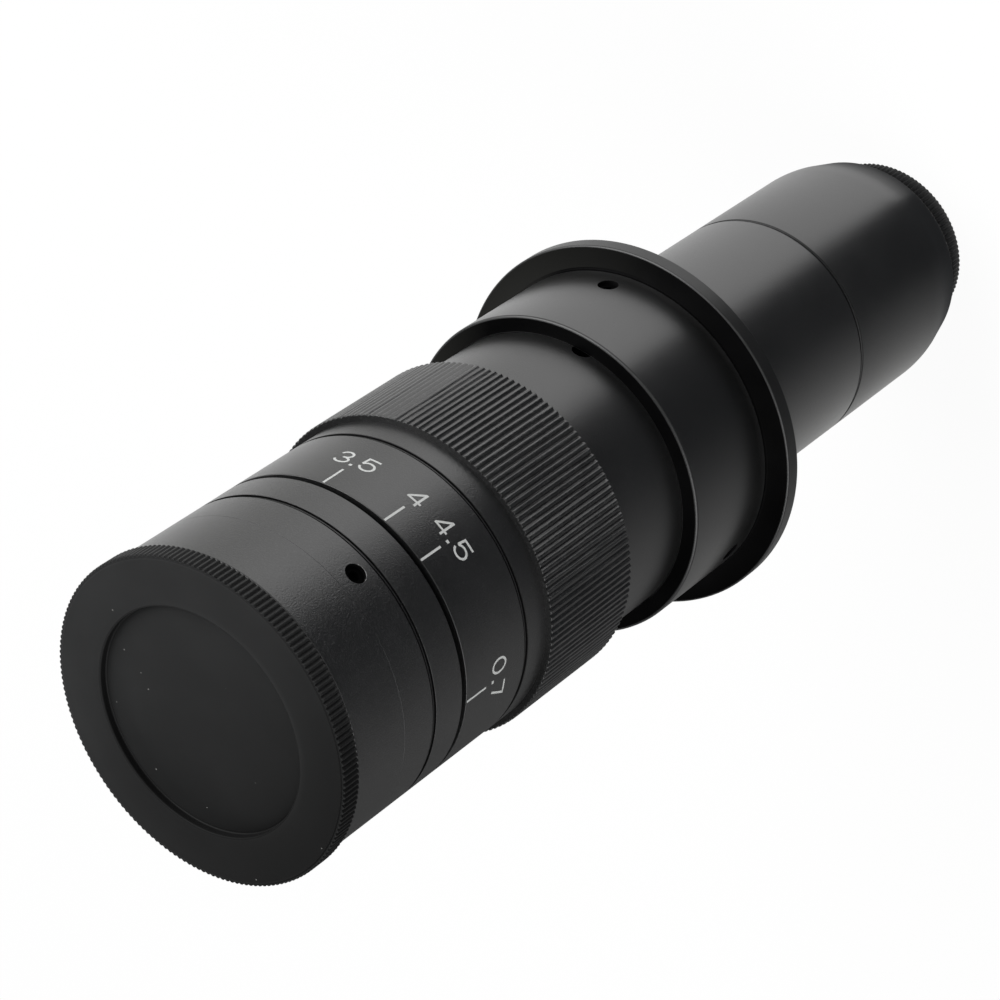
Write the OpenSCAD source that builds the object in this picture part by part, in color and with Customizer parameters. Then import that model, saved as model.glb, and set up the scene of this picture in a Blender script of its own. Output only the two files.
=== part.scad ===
// Zoom lens for a C-mount camera: an assembly of named pieces.
// The lens stands on its rear cap. +Z runs along the optical axis from the camera end to the
// front cap, the origin is at the middle of the rear cap's underside. All sizes in mm.

/* [Front cap] */
// How far the front cap's knurl stands out past the barrel, on the radius
cap_overhang = 0.55; // [0.4:0.05:1.2]
// Height of the front cap's knurled rim
cap_t = 3.3; // [2.8:0.1:4.5]
// Width of the cap's face around its round dish
dish_rim = 7.2; // [6.4:0.1:9]
// Depth of the dish in the front cap
dish_depth = 1.3; // [0.6:0.1:1.6]
// Number of teeth around the front cap
cap_teeth = 180; // [150:2:190]

/* [Front end] */
// Outer diameter of the front pieces and of the scale ring
barrel_d = 46.5; // [42:0.1:52]
// Length of the nose ring in front of its seam
nose_len = 9.8; // [9:0.1:14]
// Length of the front barrel between its seam and its groove
front_len = 6.1; // [5.8:0.1:8]
// Length of the index ring
index_len = 5.6; // [4.5:0.1:8]
// Width of the grooves at the ring seams
groove_w = 0.7; // [0.4:0.05:1]
// Depth of the grooves at the ring seams
groove_depth = 0.5; // [0.3:0.05:0.7]
// Visible gap between the index ring and the turning scale ring
turn_gap = 1.0; // [0.7:0.05:1.3]

/* [Zoom ring] */
// Length of the scale ring
scale_len = 13.1; // [12:0.1:16]
// Length of the smooth band between scale ring and knurl
band_len = 4.15; // [3:0.05:6]
// Length of the knurled grip
grip_len = 19.1; // [18.5:0.1:24]
// How far the grip's knurl stands out past the barrel, on the radius
grip_rise = 1.05; // [0.8:0.05:1.6]
// Number of teeth around the grip
grip_teeth = 152; // [120:2:160]

/* [Body and mounting sleeve] */
// How far the main barrel lies inside the front pieces' surface, on the radius
body_step = 0.85; // [0.7:0.05:1.1]
// Length of main barrel showing between sleeve and grip
body_len = 15.6; // [14:0.1:22]
// Wall of the mounting sleeve
sleeve_wall = 2.55; // [2:0.05:3.5]
// Length of the mounting sleeve in front of its flange
sleeve_len = 18.5; // [17.5:0.1:24]
// How far the mounting flange stands out past the sleeve, on the radius
flange_w = 3.75; // [2.5:0.05:7]
// Thickness of the mounting flange
flange_t = 2.6; // [2:0.1:4]
// Radius of the small fillet between sleeve and flange
fillet_r = 0.4; // [0.2:0.05:0.8]

/* [Neck and camera end] */
// Shoulder of the neck around its screwed end, on the radius
neck_shoulder = 1.15; // [0.8:0.05:1.5]
// Length of the neck tube
neck_len = 35.1; // [32:0.1:45]
// Width of the groove at the neck seam
neck_groove_w = 0.5; // [0.3:0.05:0.8]
// Length of the rear tube
rear_tube_len = 32.3; // [28:0.1:40]
// Length of the taper at the camera end
taper_len = 7.8; // [4:0.1:10]
// How far the taper runs in, on the radius
taper_in = 1.65; // [1.3:0.05:2]
// Wall of the rear cap around the camera thread
rear_cap_wall = 1.6; // [1.2:0.1:2.4]
// Height of the rear cap
rear_cap_h = 6.3; // [5.8:0.1:8]
// Number of teeth around the rear cap
rear_cap_teeth = 110; // [80:2:120]
// Radius that blends the taper into the neck
taper_round = 20; // [8:1:24]
// Diameter of the camera thread, one inch
camera_thread_d = 25.4; // [24.4:0.1:25.4]
// Length of the camera thread
camera_thread_len = 3.8; // [3.2:0.1:4]

/* [Walls inside] */
// Wall of the scale ring and of the index ring
ring_wall = 1.25; // [1:0.05:1.5]
// Wall of the grip's spigot, on which the scale ring sits
grip_wall = 1.7; // [1.5:0.05:1.8]
// Wall of the cam sleeve
cam_wall = 1.85; // [1.6:0.05:2.1]
// Wall of the guide tube, in whose bore the lens cells slide
guide_wall = 1.4; // [1.2:0.05:1.7]
// Wall of the moving cells around their glass
cell_wall = 3.45; // [3:0.05:4]
// Width of the flat rim that the glass is held by
glass_rim = 1.5; // [1.2:0.1:2]
// Wall of the front barrel inside its rings
front_wall = 1.0; // [0.8:0.05:1.2]
// Wall of the nose ring around the objective's glass
objective_wall = 3.0; // [2.6:0.1:3.5]
// Wall of the nose ring around the front thread that takes the cap or an auxiliary lens
nose_wall = 3.25; // [2.8:0.05:3.6]
// Wall of the neck's screwed end around the relay cell
relay_wall = 1.6; // [1.4:0.05:1.9]
// Wall of the relay cell around its glass
relay_cell_wall = 2.5; // [2:0.1:3]
// Wall of the neck around the screwed joint to the rear tube
neck_wall = 1.85; // [1.6:0.05:2.1]
// Wall of the rear tube around the camera mount
end_wall = 1.3; // [1.1:0.05:1.5]
// Ledge of the rear tube that the field stop rests on
stop_ledge = 1.3; // [1:0.05:2]
// Wall of the camera mount inside its thread
mount_wall = 1.5; // [1.3:0.1:2.5]
// How far the camera mount's ring stands out past its thread, on the radius
mount_step = 3.1; // [2.8:0.1:3.5]
// Step of the recess in the camera mount
mount_recess = 1.8; // [1:0.1:2]

/* [Seats along the axis] */
// How far the main barrel stands back inside the flange
barrel_setback = 0.4; // [0.2:0.05:0.8]
// Height of the guide tube's seat in the main barrel
guide_seat = 15.1; // [14:0.1:16]
// Depth of the thrust washer behind the grip's rear edge
thrust_depth = 6.2; // [5:0.1:7]
// Thickness of the thrust washer
thrust_t = 0.7; // [0.5:0.05:1]
// How far the main barrel reaches into the grip
skirt_len = 3.1; // [2:0.1:5]
// Height of the wave spring in front of the zoom ring
spring_t = 1.3; // [1:0.05:1.6]
// Depth of the guide tube's flange behind the front barrel
guide_flange_depth = 2.5; // [2:0.1:3]
// Thickness of the guide tube's flange
guide_flange_t = 1.5; // [1:0.1:2]
// Length of the camera mount inside the rear tube
mount_len = 7.4; // [6:0.1:9]
// Thickness of the field stop
stop_t = 1.5; // [1:0.1:2]
// Length of the screwed joint between rear tube and neck
neck_joint_len = 7.6; // [6:0.1:9]
// Length of the neck's screwed end in the main barrel
barrel_joint_len = 9.2; // [8:0.1:10]
// Length of the relay cell behind the main barrel
relay_len = 12; // [11:0.1:13]
// Length of the relay cell's end in front of the main barrel's rear face
relay_end = 2; // [1.5:0.1:3]
// Thickness of the flange in the relay cell that its glass rests on
relay_seat_t = 2; // [1.5:0.1:3]
// Depth of the front thread
front_thread_len = 4.6; // [4.2:0.1:5]
// Length of the cap's boss in the front thread
boss_len = 3.6; // [3:0.1:4]

/* [Glass] */
// Height of a retaining ring
retainer_t = 2; // [1.5:0.1:2.2]
// Edge thickness of the relay glass
relay_glass_t = 6; // [5:0.1:7]
// Bulge of the relay glass, rear and front
relay_bulges = [1.6, 2.4];
// Length of the compensator cell behind and in front of its pin
comp_cell = [6, 3.4];
// How far the compensator glass starts behind the pin
comp_seat = 4.5; // [4:0.1:5]
// Edge thickness of the compensator glass
comp_glass_t = 5; // [4:0.1:5]
// Bulge of the compensator glass, rear and front
comp_bulges = [1.2, 1.8];
// Length of the variator cell behind and in front of its pin
var_cell = [3.4, 8];
// How far the variator glass starts behind the pin
var_seat = 2; // [1.5:0.1:2.4]
// Edge thickness of the variator glass
var_glass_t = 6.5; // [6:0.1:7]
// Hollow of the variator glass, rear and front
var_hollows = [2, 2.4];
// How far the objective's rear glass reaches behind the nose seam
objective_depth = 4.1; // [3.8:0.1:5]
// Place of the cemented rims in front of the nose seam
cement_place = 0.7; // [0.4:0.1:1]
// Edge thickness of the objective's front glass
front_glass_t = 2.3; // [2:0.1:2.8]
// Bulge of the objective's front glass, rear and front
objective_bulges = [3, 2.4];

/* [Zoom mechanism] */
// Turn of the ring from the lowest to the highest mark, degrees
zoom_angle = 308; // [290:1:310]
// Turn from the lowest mark to the place the model rests in, degrees
rest_angle = 174; // [120:1:200]
// Travel of the variator group
variator_travel = 16; // [12:0.5:16]
// Travel of the compensator group, the other way
compensator_travel = 7; // [5:0.5:7.5]
// Height of the compensator's lowest place above the cam sleeve's end
comp_run_in = 4; // [3.8:0.1:5]
// Depth of the variator's highest place below the cam sleeve's end
var_run_in = 5.6; // [5:0.1:6]
// Diameter of the follower pins
pin_d = 2.0; // [1.8:0.1:2.2]

/* [Screws] */
// Diameter of the grub screws in the barrels
grub_d = 3.0; // [2.5:0.1:3.2]
// Diameter of the grub screws in the grip
grip_screw_d = 2.0; // [1.6:0.1:2.4]
// Height of the front grub screws above the front barrel's rear edge
front_screw_up = 2.8; // [2.4:0.1:3.2]
// Depth of the body grub screws below the sleeve's front edge, which half hides them
body_screw_drop = 0.3; // [0:0.1:1]
// Height of the sleeve grub screws above the flange
sleeve_screw_up = 4; // [3:0.1:6]
// Depth of the grip's grub screws below the cam sleeve's end
grip_screw_drop = 2.1; // [1.8:0.1:2.6]
// Place of the front grub screws around the axis, degrees from the camera side
front_screw_az = 10.3; // [0:0.1:119]
// Place of the body grub screws around the axis
body_screw_az = 32.7; // [0:0.1:119]
// Place of the sleeve grub screws around the axis
sleeve_screw_az = 46.3; // [0:0.1:119]

/* [Clearances] */
// Running clearance on the radius between parts that slide or turn
run_clear = 0.05; // [0.02:0.01:0.1]
// Clearance on the radius between a pushed-on cap and its seat
cap_clear = 0.1; // [0.05:0.01:0.2]
// Gap left at the ends of parts that move past each other
end_gap = 0.3; // [0.25:0.05:0.4]

/* [Hidden] */
$fn = 96;

// Radii of the nested pieces, from the outside in
barrel_r = barrel_d / 2;
cap_r = barrel_r + cap_overhang;
grip_r = barrel_r + grip_rise;
body_r = barrel_r - body_step;
sleeve_r = body_r + run_clear + sleeve_wall;
flange_r = sleeve_r + flange_w;
spigot_r = barrel_r - ring_wall;
cam_r = spigot_r - grip_wall;
guide_r = cam_r - cam_wall - run_clear;
cam_in_r = guide_r + run_clear;
guide_in_r = guide_r - guide_wall;
cell_r = guide_in_r - run_clear;
front_bore_r = spigot_r - front_wall;
flange_seat_r = front_bore_r - 0.1;
washer_r = spigot_r - 0.7;

// Radii of the camera end, from the thread outward
nose_thread_r = camera_thread_d / 2;
mount_bore_r = nose_thread_r - mount_wall;
rear_cap_r = nose_thread_r + cap_clear + rear_cap_wall;
mount_ring_r = nose_thread_r + mount_step;
rear_bore_r = mount_ring_r - stop_ledge;
end_face_r = mount_ring_r + end_wall;
neck_r = end_face_r + taper_in;
neck_joint_r = neck_r - neck_wall;
barrel_joint_r = neck_r - neck_shoulder;

// Small turned details
edge = 0.3;
tooth_depth = 0.32;
rear_tooth_depth = 0.22;
crest_share = 0.36;
grub_r = grub_d / 2;
pin_r = pin_d / 2;
pin_side_clear = 0.15;

// Stations along the axis, from the floor up
z_end_face = rear_cap_h + end_gap;
z_taper = z_end_face + taper_len;
z_neck_seam = z_end_face + rear_tube_len;
z_neck = z_neck_seam + neck_groove_w;
z_flange = z_neck + neck_len;
z_sleeve = z_flange + flange_t;
z_sleeve_top = z_sleeve + sleeve_len;
z_grip = z_sleeve_top + body_len;
z_band = z_grip + grip_len;
z_scale_seam = z_band + band_len;
z_scale = z_scale_seam + groove_w;
z_scale_top = z_scale + scale_len;
z_index = z_scale_top + turn_gap;
z_front_seam = z_index + index_len;
z_front = z_front_seam + groove_w;
z_nose = z_front + front_len;
z_nose_top = z_nose + nose_len;
z_cap = z_nose_top + end_gap;
z_top = z_cap + cap_t;

// Radii of the glass
glass_r = cell_r - cell_wall;
clear_r = glass_r - glass_rim;
dome_r = clear_r - 0.2;
relay_r = barrel_joint_r - relay_wall;
relay_glass_r = relay_r - relay_cell_wall;
relay_clear_r = relay_glass_r - glass_rim;
objective_r = front_bore_r - objective_wall;
objective_clear_r = objective_r - glass_rim;
objective_dome_r = objective_clear_r - 0.2;
front_thread_r = barrel_r - nose_wall;
cap_boss_r = front_thread_r - cap_clear;

// Tube seats around the mechanism
z_barrel = z_flange + barrel_setback;
z_guide = z_barrel + guide_seat;
z_thrust = z_grip - thrust_depth;
z_cam = z_thrust + thrust_t + end_gap;
z_skirt = z_grip + skirt_len;
z_spring = z_index - spring_t;
z_cam_top = z_spring - end_gap;
z_guide_flange = z_front - guide_flange_depth;
z_spigot = z_guide_flange + guide_flange_t;

// Tube seats along the camera end
z_mount_top = z_end_face + mount_len;
z_stop_top = z_mount_top + stop_t;
z_neck_joint = z_neck + neck_joint_len;
z_relay = z_barrel - relay_len;
z_relay_seat = z_relay + relay_seat_t;
z_relay_glass = z_relay_seat + relay_glass_t;
z_relay_top = z_barrel + relay_end;
z_barrel_joint = z_barrel + barrel_joint_len;

// Objective seats
z_objective = z_nose - objective_depth;
z_cement = z_nose + cement_place;
z_objective_rim = z_cement + front_glass_t;
z_retainer_top = z_objective_rim + retainer_t;
z_front_thread = z_nose_top - front_thread_len;
z_boss = z_nose_top - boss_len;

// Cell stations: the compensator's travel ends low in the cam sleeve, the variator's high
comp_low = z_cam + comp_run_in;
var_high = z_cam_top - var_run_in;
comp_rest = comp_low + compensator_travel * (1 - rest_angle / zoom_angle);
var_rest = var_high - variator_travel * (1 - rest_angle / zoom_angle);
z_comp_glass = comp_rest - comp_seat + comp_glass_t;
z_var_glass = var_rest - var_seat + var_glass_t;
var_az = 180;
comp_az = 0;
pin_end_r = cam_r - end_gap;
pin_root_r = cell_r - 1.75;
cam_slot_w = pin_d + 2 * pin_side_clear;

// Screw stations
z_front_screw = z_front + front_screw_up;
z_body_screw = z_sleeve_top - body_screw_drop;
z_sleeve_screw = z_sleeve + sleeve_screw_up;
z_grip_screw = z_cam_top - grip_screw_drop;

// Turns a child from the +X axis to a place around the optical axis, from -Y toward +X
module at_azimuth(az) {
    rotate([0, 0, az - 90]) children();
}

// Repeats a child three times around the axis
module three(az) {
    for (i = [0:2]) at_azimuth(az + 120 * i) children();
}

// Points along an arc of a turned profile
function arc(cr, cz, r, a0, a1, n = 6) =
    [for (i = [0:n]) let (a = a0 + (a1 - a0) * i / n) [cr + r * cos(a), cz + r * sin(a)]];

// Plain ring between two stations
module ring(z0, z1, ro, ri) {
    translate([0, 0, z0]) difference() {
        cylinder(r = ro, h = z1 - z0);
        translate([0, 0, -1]) cylinder(r = ri, h = z1 - z0 + 2);
    }
}

// Round bore between two stations
module bore(z0, z1, r) {
    translate([0, 0, z0]) cylinder(r = r, h = z1 - z0);
}

// Ring with chamfered outer edges
module edged_ring(z0, z1, ro, ri, c0, c1) {
    rotate_extrude() polygon([[ri, z0], [ro - c0, z0], [ro, z0 + c0], [ro, z1 - c1],
        [ro - c1, z1], [ri, z1]]);
}

// Radial hole at a station, from one radius to another
module radial_hole(z, r0, r1, r) {
    translate([r0, 0, z]) rotate([0, 90, 0]) cylinder(r = r, h = r1 - r0, $fn = 48);
}

// Straight knurl: a toothed prism with flat crests and sharp roots
module knurl(z0, z1, r, depth, teeth) {
    pitch = 360 / teeth;
    half = pitch * crest_share / 2;
    translate([0, 0, z0]) linear_extrude(height = z1 - z0)
        polygon([for (i = [0:teeth - 1], k = [0:2])
            let (a = i * pitch + [-half, half, pitch / 2][k], q = k == 2 ? r - depth : r)
            [q * cos(a), q * sin(a)]]);
}

// Grub screw lying along the radius, with a hexagon socket in its outer end
module grub(z, r0, r1, r) {
    translate([r0, 0, z]) rotate([0, 90, 0]) difference() {
        union() {
            cylinder(r1 = r * 0.7, r2 = r, h = 0.4, $fn = 48);
            translate([0, 0, 0.4]) cylinder(r = r, h = r1 - r0 - 0.4, $fn = 48);
        }
        translate([0, 0, (r1 - r0) * 0.45]) cylinder(r = r * 0.58, h = r1 - r0, $fn = 6);
    }
}

// Round glass blank with flat ground rims; a positive bulge is a convex face, a negative one concave
module glass(z0, z1, r, clear_r, bulge0, bulge1) {
    difference() {
        union() {
            bore(z0, z1, r);
            if (bulge0 > 0) cap_dome(z0, clear_r, bulge0, -1);
            if (bulge1 > 0) cap_dome(z1, clear_r, bulge1, 1);
        }
        if (bulge0 < 0) dome_ball(z0, clear_r, -bulge0, 1);
        if (bulge1 < 0) dome_ball(z1, clear_r, -bulge1, -1);
    }
}

// Ball whose surface rises by a given bulge over a flat circle
module dome_ball(z, clear_r, bulge, dir) {
    ball_r = (clear_r * clear_r + bulge * bulge) / (2 * bulge);
    translate([0, 0, z + dir * (bulge - ball_r)]) sphere(r = ball_r, $fn = 128);
}

// Dome standing on a flat circle
module cap_dome(z, clear_r, bulge, dir) {
    intersection() {
        dome_ball(z, clear_r, bulge, dir);
        bore(dir > 0 ? z - 0.2 : z - bulge - 1, dir > 0 ? z + bulge + 1 : z + 0.2, clear_r);
    }
}

// Threaded retaining ring with two spanner slots in one face
module retainer(z0, z1, ro, ri, slots_up) {
    slot_z = slots_up ? z1 - 0.7 : z0 - 0.3;
    difference() {
        ring(z0, z1, ro, ri);
        for (a = [0, 180]) rotate([0, 0, a])
            translate([ri - 1, -0.6, slot_z]) cube([ro - ri + 2, 1.2, 1]);
    }
}

// Lens cell: a tube with an inner shoulder that the glass rests on
module cell(z0, z1, ro, lens_r, clear_r, z_seat) {
    difference() {
        edged_ring(z0, z1, ro, clear_r, edge, edge);
        bore(z_seat, z1 + 1, lens_r);
    }
}

module rear_cap() color([0.1, 0.1, 0.1]) {
    difference() {
        union() {
            knurl(edge, rear_cap_h - edge, rear_cap_r, rear_tooth_depth, rear_cap_teeth);
            edged_ring(0, rear_cap_h, rear_cap_r - rear_tooth_depth - 0.1, 0, edge, edge);
        }
        bore(2, rear_cap_h + 1, nose_thread_r + cap_clear);
    }
}

module camera_mount() color([0.2, 0.2, 0.2]) {
    difference() {
        union() {
            edged_ring(z_end_face - camera_thread_len, z_end_face + 1, nose_thread_r,
                mount_bore_r, edge, 0);
            ring(z_end_face, z_mount_top, mount_ring_r, mount_bore_r);
        }
        bore(z_end_face + 2, z_mount_top + 1, mount_bore_r + mount_recess);
    }
}

module field_stop() color([0.05, 0.05, 0.05]) {
    rotate_extrude() polygon([[mount_ring_r, z_mount_top], [mount_ring_r, z_stop_top],
        [mount_bore_r - 0.6, z_stop_top], [mount_bore_r - 1.6, z_mount_top]]);
}

module rear_tube() color([0.13, 0.13, 0.14]) {
    slope = atan((neck_r - end_face_r) / taper_len);
    blend = taper_round * tan(slope / 2);
    lip_r = neck_r - groove_depth;
    difference() {
        union() {
            rotate_extrude() polygon(concat(
                [[rear_bore_r - 0.5, z_end_face]],
                arc(end_face_r - 2 * edge, z_end_face + 2 * edge, 2 * edge, -90, -slope),
                arc(neck_r - taper_round, z_taper + blend, taper_round, -slope, 0),
                [[neck_r, z_neck_seam], [lip_r, z_neck_seam], [lip_r, z_neck],
                    [rear_bore_r - 0.5, z_neck]]));
            bore(z_neck - 1, z_neck_joint, neck_joint_r);
        }
        bore(z_end_face - 1, z_stop_top, mount_ring_r);
        bore(z_stop_top - 1, z_neck_joint + 1, rear_bore_r);
    }
}

module neck_tube() color([0.13, 0.13, 0.14]) {
    difference() {
        union() {
            bore(z_neck, z_barrel, neck_r);
            bore(z_barrel - 1, z_barrel_joint, barrel_joint_r);
        }
        bore(z_neck - 1, z_neck_joint, neck_joint_r);
        bore(z_neck_joint - 1, z_relay + 1, relay_r - 1);
        bore(z_relay, z_barrel_joint + 1, relay_r);
    }
}

module relay_cell() color([0.1, 0.1, 0.1]) {
    cell(z_relay, z_relay_top, relay_r, relay_glass_r, relay_clear_r, z_relay_seat);
}

module relay_lens() color([0.75, 0.85, 0.9]) {
    glass(z_relay_seat, z_relay_glass, relay_glass_r, relay_clear_r - 0.2, relay_bulges[0],
        relay_bulges[1]);
}

module relay_retainer() color([0.08, 0.08, 0.08]) {
    retainer(z_relay_glass, z_relay_glass + retainer_t, relay_glass_r, relay_clear_r, true);
}

module main_barrel() color([0.13, 0.13, 0.14]) {
    difference() {
        rotate_extrude() polygon([[barrel_joint_r, z_barrel], [body_r - edge, z_barrel],
            [body_r, z_barrel + edge], [body_r, z_skirt - edge], [body_r - edge, z_skirt],
            [cam_r + end_gap, z_skirt], [cam_r + end_gap, z_thrust], [guide_r, z_thrust],
            [guide_r, z_guide], [barrel_joint_r, z_guide]]);
        three(body_screw_az) radial_hole(z_body_screw, guide_r - 1, body_r + 1, grub_r);
    }
}

module mounting_sleeve() color([0.15, 0.15, 0.16]) {
    bore_r = body_r + run_clear;
    difference() {
        union() {
            edged_ring(z_flange, z_sleeve, flange_r, bore_r, edge, edge);
            edged_ring(z_sleeve - 1, z_sleeve_top, sleeve_r, bore_r, 0, 0.4);
            rotate_extrude() difference() {
                translate([sleeve_r - 0.5, z_sleeve - 0.5])
                    square([fillet_r + 0.5, fillet_r + 0.5]);
                translate([sleeve_r + fillet_r, z_sleeve + fillet_r]) circle(r = fillet_r);
            }
        }
        bore(z_flange - 1, z_sleeve_top + 1, bore_r);
        three(sleeve_screw_az) radial_hole(z_sleeve_screw, body_r - 1, sleeve_r + 1, grub_r);
    }
}

module sleeve_screws() color([0.25, 0.25, 0.26]) {
    three(sleeve_screw_az) grub(z_sleeve_screw, body_r, sleeve_r - 0.7, grub_r);
}

module body_screws() color([0.25, 0.25, 0.26]) {
    three(body_screw_az) grub(z_body_screw, guide_r, body_r - 0.8, grub_r);
}

module guide_tube() color([0.3, 0.3, 0.31]) {
    difference() {
        union() {
            ring(z_guide, z_spigot, guide_r, guide_in_r);
            ring(z_guide_flange, z_spigot, flange_seat_r, guide_in_r);
        }
        straight_slot(var_az, var_high - variator_travel, var_high);
        straight_slot(comp_az, comp_low, comp_low + compensator_travel);
    }
}

// Slot along the guide tube for one follower pin
module straight_slot(az, z0, z1) {
    r = pin_r + run_clear;
    over = 0.3;
    at_azimuth(az) {
        translate([guide_in_r - 1, -r, z0 - over]) cube([3.4, 2 * r, z1 - z0 + 2 * over]);
        radial_hole(z0 - over, guide_in_r - 1, guide_r + 1, r);
        radial_hole(z1 + over, guide_in_r - 1, guide_r + 1, r);
    }
}

module thrust_washer() color([0.7, 0.6, 0.35]) {
    ring(z_thrust, z_thrust + thrust_t, cam_r + end_gap, guide_r);
}

module cam_sleeve() color([0.72, 0.6, 0.32]) {
    difference() {
        ring(z_cam, z_cam_top, cam_r, cam_in_r);
        cam_slot(var_az, var_rest, variator_travel);
        cam_slot(comp_az, comp_rest, -compensator_travel);
        three(60) radial_hole(z_grip_screw, cam_in_r - 1, cam_r + 1, grip_screw_d / 2);
    }
}

// Helical slot of constant lead, milled in short straight steps; the pin at the given place
// climbs by the travel over the whole turn of the ring
module cam_slot(az, z_rest, travel) {
    lead = travel / zoom_angle;
    steps = 14;
    step = zoom_angle / steps;
    mid_r = (cam_r + cam_in_r) / 2;
    tilt = atan(lead * 180 / PI / mid_r);
    reach = 2 * mid_r * tan(step / 2) / cos(tilt) + 0.3;
    for (i = [0:steps - 1]) let (turn = (i + 0.5) * step - rest_angle)
        at_azimuth(az - turn) translate([mid_r, 0, z_rest + lead * turn]) rotate([-tilt, 0, 0])
            cube([cam_r - cam_in_r + 2.4, reach, cam_slot_w], center = true);
    for (turn = [-rest_angle, zoom_angle - rest_angle])
        at_azimuth(az - turn)
            radial_hole(z_rest + lead * turn, cam_in_r - 1, cam_r + 1, cam_slot_w / 2);
}

module zoom_grip() color([0.12, 0.12, 0.13]) {
    difference() {
        union() {
            knurl(z_grip, z_band, grip_r, tooth_depth, grip_teeth);
            edged_ring(z_band - 1, z_scale_seam, barrel_r, cam_r, 0, edge / 2);
            ring(z_scale_seam - 1, z_cam_top, spigot_r, cam_r);
        }
        bore(z_grip - 1, z_cam_top + 1, cam_r);
        bore(z_grip - 1, z_skirt + end_gap, body_r + end_gap);
        three(60) radial_hole(z_grip_screw, cam_r - 1, spigot_r + 1, grip_screw_d / 2);
    }
}

module grip_screws() color([0.3, 0.3, 0.3]) {
    three(60) grub(z_grip_screw, cam_in_r + 0.3, spigot_r - 0.1, grip_screw_d / 2);
}

module scale_ring() color([0.12, 0.12, 0.13]) {
    difference() {
        union() {
            edged_ring(z_scale, z_scale_top, barrel_r, spigot_r, edge / 2, edge / 2);
            ring(z_scale_seam, z_scale + 1, barrel_r - groove_depth, spigot_r);
        }
        bore(z_cam_top - 0.4, z_scale_top + 1, spigot_r + end_gap);
    }
}

module spring_washer() color([0.6, 0.6, 0.6]) {
    ring(z_spring, z_index, washer_r, guide_r + end_gap);
}

// Cell that a follower pin moves along the guide tube
module moving_cell(z0, z1, z_seat, z_pin, az) {
    difference() {
        cell(z0, z1, cell_r, glass_r, clear_r, z_seat);
        at_azimuth(az) radial_hole(z_pin, pin_root_r, cell_r + 1, pin_r);
    }
}

// Follower pin screwed into a cell
module follower(z_pin, az) {
    at_azimuth(az) radial_hole(z_pin, pin_root_r, pin_end_r, pin_r);
}

module compensator_cell() color([0.1, 0.1, 0.1]) {
    moving_cell(comp_rest - comp_cell[0], comp_rest + comp_cell[1], comp_rest - comp_seat,
        comp_rest, comp_az);
}

module compensator_lens() color([0.75, 0.85, 0.9]) {
    glass(comp_rest - comp_seat, z_comp_glass, glass_r, dome_r, comp_bulges[0], comp_bulges[1]);
}

module compensator_retainer() color([0.08, 0.08, 0.08]) {
    retainer(z_comp_glass, z_comp_glass + retainer_t, glass_r, clear_r, true);
}

module compensator_pin() color([0.6, 0.6, 0.62]) {
    follower(comp_rest, comp_az);
}

module variator_cell() color([0.1, 0.1, 0.1]) {
    moving_cell(var_rest - var_cell[0], var_rest + var_cell[1], var_rest - var_seat,
        var_rest, var_az);
}

module variator_lens() color([0.75, 0.85, 0.9]) {
    glass(var_rest - var_seat, z_var_glass, glass_r, dome_r, -var_hollows[0], -var_hollows[1]);
}

module variator_retainer() color([0.08, 0.08, 0.08]) {
    retainer(z_var_glass, z_var_glass + retainer_t, glass_r, clear_r, true);
}

module variator_pin() color([0.6, 0.6, 0.62]) {
    follower(var_rest, var_az);
}

module front_barrel() color([0.13, 0.13, 0.14]) {
    difference() {
        union() {
            ring(z_spring, z_front + 1, spigot_r, guide_r);
            edged_ring(z_front, z_nose, barrel_r, guide_r, edge / 2, 0);
        }
        bore(z_spring - 1, z_index, washer_r);
        bore(z_guide_flange, z_nose + 1, front_bore_r);
        three(front_screw_az) radial_hole(z_front_screw, front_bore_r - 1, barrel_r + 1, grub_r);
    }
}

module index_ring() color([0.12, 0.12, 0.13]) {
    union() {
        edged_ring(z_index, z_front_seam, barrel_r, spigot_r, edge / 2, edge / 2);
        ring(z_front_seam - 1, z_front, barrel_r - groove_depth, spigot_r);
    }
}

module front_screws() color([0.25, 0.25, 0.26]) {
    three(front_screw_az) grub(z_front_screw, front_bore_r, barrel_r - 0.7, grub_r);
}

module nose_ring() color([0.13, 0.13, 0.14]) {
    difference() {
        union() {
            edged_ring(z_nose, z_nose_top, barrel_r, objective_clear_r, 0, edge);
            ring(z_spigot, z_nose + 1, front_bore_r, objective_clear_r);
        }
        bore(z_objective, z_nose_top + 1, objective_r);
        bore(z_front_thread, z_nose_top + 1, front_thread_r);
    }
}

module objective_rear_lens() color([0.75, 0.85, 0.9]) {
    difference() {
        bore(z_objective, z_cement, objective_r);
        dome_ball(z_cement, objective_dome_r, objective_bulges[0], -1);
    }
}

module objective_front_lens() color([0.75, 0.85, 0.9]) {
    glass(z_cement, z_objective_rim, objective_r, objective_dome_r, objective_bulges[0],
        objective_bulges[1]);
}

module objective_retainer() color([0.08, 0.08, 0.08]) {
    retainer(z_objective_rim, z_retainer_top, objective_r, objective_clear_r, true);
}

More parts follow.
